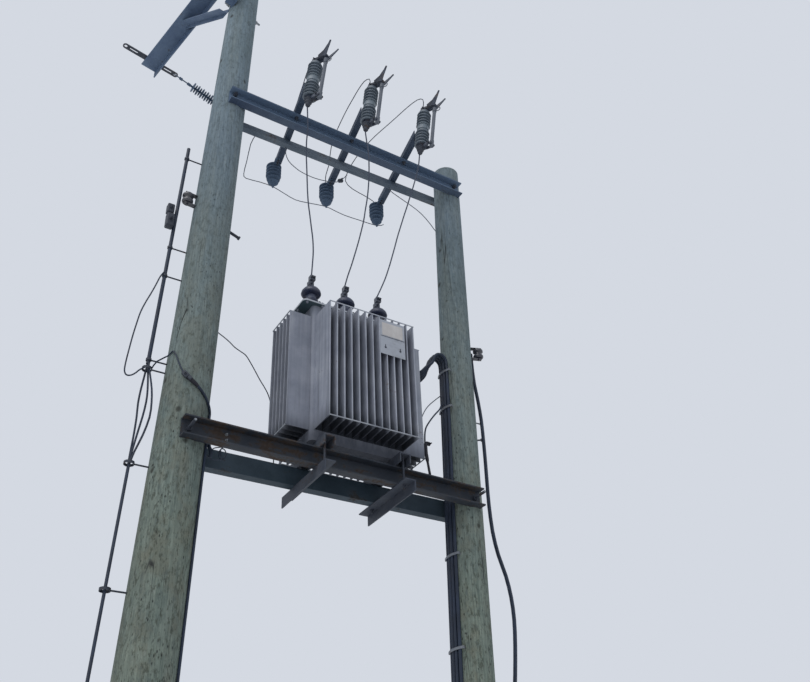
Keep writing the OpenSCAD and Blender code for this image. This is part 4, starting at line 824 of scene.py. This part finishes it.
def arm_bolts():
    """Each arm is bolted down on the near crossarm, its cutout's plate and its arrester's plate on the arm.

    A row gives a bolt's X and Y on the arm, its upper and lower end, its width and its two threads' lengths.
    """
    rows = [(0.004, NEAR_CROSSARM_Y / math.cos(ARM_TURN), 0.006, -0.009, 0.022, 0.012, 0.014)]
    rows += [(0.005, y - ARM_END, 0.014, 0.0, 0.018, 0.01, 0.012) for y in (0.045, 0.012)]
    rows += [(-0.01, ARM_END - y, 0.006, -0.006, 0.016, 0.008, 0.012) for y in (0.094, 0.064)]
    parts = []
    for number in ARMS:
        for x, y, upper, lower, across, above, below in rows:
            parts += hex_bolt(at_arm(number, (x, y, upper)), UP, across, above)
            parts += hex_bolt(at_arm(number, (x, y, lower)), DOWN, across, below)
        parts += hex_bolt(at_arm(number, (-0.018, ARM_END + 0.022, 0.035)), UP, 0.022, 0.002)
    return parts


def cutout_bolts():
    """Small bolts across the top casting and the lower hinge of each cutout, in its own frame."""
    top, hinge = (0.022, 0.0, PORCELAIN_HALF + 0.03), (0.024, -0.078, -PORCELAIN_HALF - 0.014)
    parts = []
    for number in ARMS:
        turn, origin = cutout_frame(number)
        for side in (-1, 1):
            for x, y, z in (top, hinge):
                at = origin + turn @ Vector((side * x, y, z))
                parts += hex_bolt(at, turn @ Vector((side, 0, 0)), 0.015, 0.008)
    return parts


def cutout_castings():
    """A tapered casting over each cutout's top bar, its horns' gussets and a stepped cone at its foot."""
    cone = [(0.034, 0.0), (0.034, 0.014), (0.028, 0.02), (0.027, 0.036), (0.021, 0.042), (0.019, 0.062),
            (0.012, 0.068), (0.012, 0.072), (0.0, 0.072)]
    gusset = [(0.028, -0.006), (0.07, -0.016), (0.078, 0.0), (0.042, 0.044), (0.024, 0.096)]
    parts = []
    for number in ARMS:
        turn, origin = cutout_frame(number)
        axes = [tuple(turn.col[k]) for k in range(3)]
        for y, z, size in ((-0.036, 0.21, (0.05, 0.09, 0.026)), (-0.09, 0.206, (0.042, 0.05, 0.016))):
            parts.append(block(origin + turn @ Vector((0.0, y, z)), size, axes, 0.3))
        parts.append(lathe(cone, origin + turn @ Vector((0.0, 0.006, -0.192)), tuple(-turn.col[2]), 28))
        for side in (-1, 1):
            horn = turn @ Matrix.Rotation(side * HORN_SPLAY, 3, "Y") @ Matrix.Rotation(HORN_LEAN, 3, "X")
            at = origin + turn @ Vector((side * 0.021, -0.106, 0.194))
            parts.append(sheet(gusset, 0.006, at, [tuple(horn.col[k]) for k in (1, 2, 0)]))
    return parts


def bushing_bolts():
    """Bolts on the lead connectors and the bushings' square flanges, and the low voltage row's top nuts."""
    parts = []
    for step in (-1, 0, 1):
        foot = bushing_foot(step)
        for place in ((-0.004, -0.019, 0.265), (0.014, -0.019, 0.265), (-0.006, -0.015, 0.21)):
            parts += hex_bolt(foot + np.array(place), FRONT, 0.013, 0.008)
        for x in (-0.045, 0.045):
            for y in (-0.045, 0.045):
                parts += hex_bolt(foot + np.array([x, y, 0.03]), UP, 0.016, 0.008)
    for k in (-1.5, -0.5, 0.5, 1.5):
        at = np.array([LID_MIDDLE[0] + k * LV_PITCH, LID_MIDDLE[1] + LV_ROW, LID_TOP + 0.084])
        parts += hex_bolt(at, UP, 0.018, 0.0)
    return parts


def bushing_rings():
    """A dark clamping ring round the foot of each high voltage bushing's neck."""
    profile = [(0.047, 0.029), (0.05, 0.044), (0.053, 0.047), (0.053, 0.06), (0.049, 0.065),
               (0.04, 0.067), (0.03, 0.068)]
    return [lathe(profile, bushing_foot(step), UP, 40) for step in (-1, 0, 1)]


def lid_bolts():
    """Bolts round the lid's rim, one about every 120 mm, with nuts above and below."""
    inset, first = 0.014, 0.03
    low, high = LID_LOW[:2] + inset, LID_HIGH[:2] - inset
    along = np.linspace(LID_LOW[0] + first, LID_HIGH[0] - first, 8)
    across = np.linspace(LID_LOW[1], LID_HIGH[1], 4)[1:3]
    places = [(x, y) for x in along for y in (low[1], high[1])]
    places += [(x, y) for y in across for x in (low[0], high[0])]
    parts = []
    for x, y in places:
        parts += hex_bolt((x, y, LID_HIGH[2]), UP, 0.014, 0.005)
        parts += hex_bolt((x, y, LID_LOW[2]), DOWN, 0.014, 0.005)
    return parts


def left_pole_fittings():
    """The braces' through bolt with its square washer, and two bolts in the near beam's web."""
    along = np.array([math.cos(LINE_ARM_TURN), math.sin(LINE_ARM_TURN), 0.0])
    aside = np.array([-along[1], along[0], 0.0])
    middle = np.array([BRACE_LEVEL * LEAN, 0.0, BRACE_LEVEL])
    reach = pole_radius(BRACE_LEVEL)
    parts = [block(middle + along * (reach + 0.002), (0.004, 0.05, 0.05), [along, aside, UP])]
    parts += hex_bolt(middle + along * (reach + 0.003), along, 0.03, 0.03)
    parts += hex_bolt(middle - along * (reach + 0.012), -along, 0.03, 0.02)
    web = corners("platform_beam_near")[0][1] + WEB_DEPTH
    for x, z in ((0.357, 4.259), (0.359, 4.221)):
        parts += hex_bolt((x, web, z), FRONT, 0.013, 0.008)
    return parts


def bolt_tails():
    """The long ends of the near beam's pole bolts and their paler cut faces, a nail and a step bolt."""
    low, high = corners("platform_beam_near")
    level = (low[2] + high[2]) / 2
    rods, ends = [], []
    for x, start in ((0.0, -0.172), (POLE_SPACING, -0.146)):
        at = np.array([x + level * LEAN, start, level])
        rods.append(lathe([(0.0094, 0.0), (0.0094, 0.09), (0.0078, 0.094)], at, FRONT, 20))
        ends.append(lathe([(0.0078, 0.0), (0.0068, 0.0015)], at + np.array([0.0, -0.0938, 0.0]), FRONT, 20))
    nail_level, nail_out = 4.73, np.array([0.805, -0.592, 0.0])
    nail = np.array([POLE_SPACING + nail_level * LEAN, 0.0, nail_level]) + 0.11 * nail_out
    rods.append(lathe([(0.006, 0.0), (0.006, 0.03), (0.012, 0.031), (0.012, 0.04)], nail, nail_out, 16))
    step_bolt = [(0.0105, 0.0), (0.0105, 0.1), (0.015, 0.101), (0.015, 0.11), (0.012, 0.113)]
    rods.append(lathe(step_bolt, on_left_pole(5.925, -4.0, -0.03), (0.96, -0.05, -0.42), 20))
    return rods, ends


def tap_joint():
    """Tape wound over the tap cable's joint: a tube along a helix whose radius swells in the middle."""
    levels, azimuths = np.linspace(4.585, 4.5272, 9), np.linspace(-112.0, -82.42, 9)
    path = [on_left_pole(level, azimuth, 0.009) for level, azimuth in zip(levels, azimuths)]
    turns = np.arange((len(path) - 1) * PATH_STEPS + 1)
    swell = 0.0035 * np.sin(turns / turns[-1] * math.pi) + 0.0008 * np.sin(turns * 2.1)
    return [tube(path, 0.0095 + swell, 14)]


def tap_connector():
    """A split bolt connector beside the tape: two blocks across the cable and a bolt through them."""
    level = 4.59
    at = on_left_pole(level, -113.0, 0.016)
    out = unit(np.array([at[0] - level * LEAN, at[1], 0.0]))
    side = unit(np.cross(out, (0.5, -0.15, -0.55)))
    along = np.cross(side, out)
    parts = [block(at, (0.044, 0.03, 0.022), [along, side, out], 0.25)]
    parts.append(block(at + along * 0.036 + side * 0.004, (0.026, 0.022, 0.02), [along, side, out], 0.3))
    return parts + hex_bolt(at + out * 0.011, out, 0.014, 0.008)


def cable_coil():
    """A spare end coiled under the near beam: an ellipse of 20 by 34 mm with 1.6 turns, then a run back."""
    a = np.linspace(0.6 * math.pi, 3.8 * math.pi, 22)
    loop = np.column_stack([0.4 + 0.02 * np.cos(a), -0.01 + 0.004 * a, 4.222 + 0.034 * np.sin(a)])
    start = [(0.292, -0.02, 4.262), (0.3, -0.02, 4.225), (0.318, -0.016, 4.212), (0.34, -0.01, 4.232)]
    end = [(0.36, 0.034, 4.178), (0.335, 0.034, 4.182), (0.31, 0.03, 4.19), (0.29, 0.02, 4.18)]
    wrapped = [(0.298, -0.02, 4.246), (0.302, -0.018, 4.224), (0.314, -0.014, 4.208), (0.32, -0.006, 4.19),
               (0.318, 0.004, 4.17)]
    return [tube(np.vstack([start, loop, end]), 0.0032, 10, 3), tube(wrapped, 0.011)]


def earth_connector():
    """The connector lump where the earth link meets the drop from the third jumper."""
    at = np.array([1.352, 0.3265, 7.208])
    u, v, w = axis_frame((0.86, 0.04, 0.5))
    parts = [block(at, (0.046, 0.026, 0.03), [w, u, v], 0.3)]
    return parts + hex_bolt(at + np.array([0.0, -0.013, 0.0]), FRONT, 0.016, 0.012)


def earth_sleeve():
    """The black sleeve, wider at its upper half, and the lug on the near earth tail, just above the beam."""
    path = [(1.771, -0.1, 4.578), (1.765, -0.11, 4.5), (1.762, -0.124, 4.44), (1.76, -0.135, 4.39),
            (1.7585, -0.15, 4.318)]
    share = np.linspace(0.0, 1.0, (len(path) - 1) * PATH_STEPS + 1)
    radius = np.interp(share, [0.0, 0.1, 0.5, 0.62, 1.0], [0.009, 0.0125, 0.012, 0.008, 0.0085])
    lug = np.array([1.79, -0.102, 4.576])
    parts = [tube(path, radius, 14), block(lug, (0.032, 0.014, 0.026), chamfer=0.25)]
    return parts + hex_bolt(lug + np.array([0.006, -0.007, -0.004]), (0.3, -0.95, 0.0), 0.014, 0.012)


def earth_tail_sheath():
    """The dark covering of the near earth tail, a tube along the wire's own route from pole to beam."""
    route = [(2.0, 0.002, 4.993), (1.982, -0.014, 4.97), (1.945, -0.042, 4.915), (1.89, -0.058, 4.85),
             (1.83, -0.065, 4.765), (1.795, -0.075, 4.7), (1.775, -0.09, 4.61), (1.765, -0.11, 4.5),
             (1.76, -0.135, 4.39)]
    cover = 0.0021
    return [tube(route, WIRE_D / 2 + cover)]


def riser_connectors():
    """Two clamps on the left riser below its insulator, each a block with a bolt."""
    parts = []
    for x, z, size in ((-0.118, 5.93, (0.046, 0.05, 0.075)), (-0.112, 5.83, (0.05, 0.055, 0.11))):
        at = np.array([x, -0.012, z])
        parts.append(block(at, size, chamfer=0.22))
        parts += hex_bolt(at + np.array([0.0, -size[1] / 2, 0.0]), FRONT, 0.018, 0.012)
    return parts


def plate_parts():
    """The plate's blank upper panel, its fold and two rivet heads, all just proud of the plate."""
    low, high = corners("rating_plate")
    width, _, tall = high - low
    middle, front = (low[0] + high[0]) / 2, low[1]
    panel_size, fold_size = (width * 0.84, 0.0012, tall * 0.38), (width * 0.96, 0.0016, 0.0035)
    panel = block((middle, front - panel_size[1] / 2, low[2] + tall * 0.74), panel_size, chamfer=0.3)
    fold = block((middle, front - fold_size[1] / 2, low[2] + tall * 0.52), fold_size, chamfer=0.3)
    rivets = []
    for share in (0.2, 0.8):
        at = np.array([low[0] + width * share, front, low[2] + tall * 0.2])
        rivets.append(lathe([(0.0075, 0.0), (0.007, 0.002), (0.004, 0.0042), (0.0, 0.005)], at, FRONT, 20))
        rivets.append(block(at + np.array([0.0, -0.0005, 0.014]), (0.006, 0.001, 0.016), chamfer=0.2))
    return [panel], [fold], rivets


def fin_seams():
    """Weld beads down the near and far banks' joints with the tank wall, thin tubes that waver a little."""
    parts = []
    for bank, wall in (("fin_bank_near", 1), ("fin_bank_far", 0)):
        box = corners(bank)
        low, high = box
        for x in (low[0] + 0.004, high[0] - 0.004):
            z = np.linspace(low[2] + 0.04, high[2] - 0.04, 40)
            path = np.column_stack([x + 0.0008 * np.sin(z * 211.0), np.full(len(z), box[wall][1]), z])
            parts.append(tube(path, 0.0035, 8, 1))
    return parts


def make_fittings():
    """Each fitting's name, surfaces, finish and slot."""
    panel, fold, rivets = plate_parts()
    rods, ends = bolt_tails()
    fittings = [
        ("plate_panel", panel, PANEL, "plate"),
        ("plate_fold", fold, DARK_STEEL, "plate"),
        ("plate_rivets", rivets, DARK_STEEL, "galvanised"),
        ("arm_bolts", arm_bolts(), DARK_STEEL, "galvanised"),
        ("cutout_bolts", cutout_bolts(), DARK_STEEL, "galvanised"),
        ("cutout_castings", cutout_castings(), DARK_STEEL, "galvanised"),
        ("bushing_rings", bushing_rings(), BUSHING, "brown_porcelain"),
        ("bolt_tails", rods, DARK_STEEL, "galvanised"),
        ("bolt_tail_ends", ends, ZINC, "galvanised"),
        ("bushing_bolts", bushing_bolts(), DARK_STEEL, "galvanised"),
        ("lid_bolts", lid_bolts(), TANK, "tank_paint"),
        ("left_pole_fittings", left_pole_fittings(), ZINC, "galvanised"),
        ("tap_joint_tape", tap_joint(), TAPE, "cable"),
        ("tap_connector", tap_connector(), DARK_STEEL, "galvanised"),
        ("cable_coil", cable_coil(), SHEATH, "cable"),
        ("earth_connector", earth_connector(), DARK_STEEL, "galvanised"),
        ("earth_sleeve", earth_sleeve(), TAPE, "cable"),
        ("earth_tail_sheath", earth_tail_sheath(), SHEATH, "cable"),
        ("riser_connectors", riser_connectors(), DARK_STEEL, "galvanised"),
        ("fin_seams", fin_seams(), TANK, "tank_paint"),
    ]
    for name, parts, finish, slot in fittings:
        make_piece(name, parts, finish)


make_fittings()

# Floor, backdrop light and lamp

FLOOR_MIDDLE, FLOOR_LEVEL, FLOOR_RINGS = (1.0, 0.0, 0.0), -0.002, (2.0, 6.0, 15.0, 40.0)
BACKDROP = colour(212, 217, 226)
SKY_LIGHT, SKY_STRENGTH = colour(222, 229, 240), 0.8
SUN_COLOUR, SUN_STRENGTH, SUN_ANGLE = (1.0, 0.98, 0.95), 1.35, math.radians(50)
SUN_TOWARDS = (0.62, 0.35, -1.0)


def make_world():
    """An even light on the object; the camera, glossy and clear surfaces see the pale backdrop instead."""
    world = bpy.data.worlds.new("studio")
    scene.world = world
    world.use_nodes = True
    tree = world.node_tree
    tree.nodes.clear()
    kinds = ("OutputWorld", "MixShader", "Background", "Background", "LightPath", "Math", "Math")
    out, join, seen, light, path, either, any_of = (tree.nodes.new("ShaderNode" + kind) for kind in kinds)
    either.operation = "MAXIMUM"
    any_of.operation = "MAXIMUM"
    seen.inputs[0].default_value = BACKDROP
    light.inputs[0].default_value = SKY_LIGHT
    light.inputs[1].default_value = SKY_STRENGTH
    tree.links.new(path.outputs["Is Camera Ray"], either.inputs[0])
    tree.links.new(path.outputs["Is Glossy Ray"], either.inputs[1])
    tree.links.new(either.outputs[0], any_of.inputs[0])
    tree.links.new(path.outputs["Is Transmission Ray"], any_of.inputs[1])
    tree.links.new(any_of.outputs[0], join.inputs[0])
    tree.links.new(light.outputs[0], join.inputs[1])
    tree.links.new(seen.outputs[0], join.inputs[2])
    tree.links.new(join.outputs[0], out.inputs[0])


def make_sun():
    """One wide soft lamp from above on the left, on the camera's side."""
    lamp = bpy.data.lights.new("soft_sun", "SUN")
    lamp.energy = SUN_STRENGTH
    lamp.angle = SUN_ANGLE
    lamp.color = SUN_COLOUR
    holder = bpy.data.objects.new("soft_sun", lamp)
    holder.rotation_euler = Vector(SUN_TOWARDS).to_track_quat("-Z", "Y").to_euler()
    scene.collection.objects.link(holder)


def make_floor():
    """A pale disc just under the poles: rings at growing radii round a middle polygon."""
    verts, faces = lathe([(r, FLOOR_LEVEL) for r in FLOOR_RINGS], FLOOR_MIDDLE, UP, 64)
    rings, middle = faces[:2]
    mesh = bpy.data.meshes.new("floor")
    mesh.from_pydata(verts.tolist(), [], rings.tolist() + middle.tolist())
    f = Finish("floor_grey", 0.85, specular=0.2)
    mesh.materials.append(f.done(f.mix(f.noise(0.8, 4.0), colour(222, 222, 220), colour(230, 230, 229))))
    floor = bpy.data.objects.new("floor", mesh)
    scene.collection.objects.link(floor)


make_floor()
make_world()
make_sun()
scene.view_settings.view_transform = "Standard"
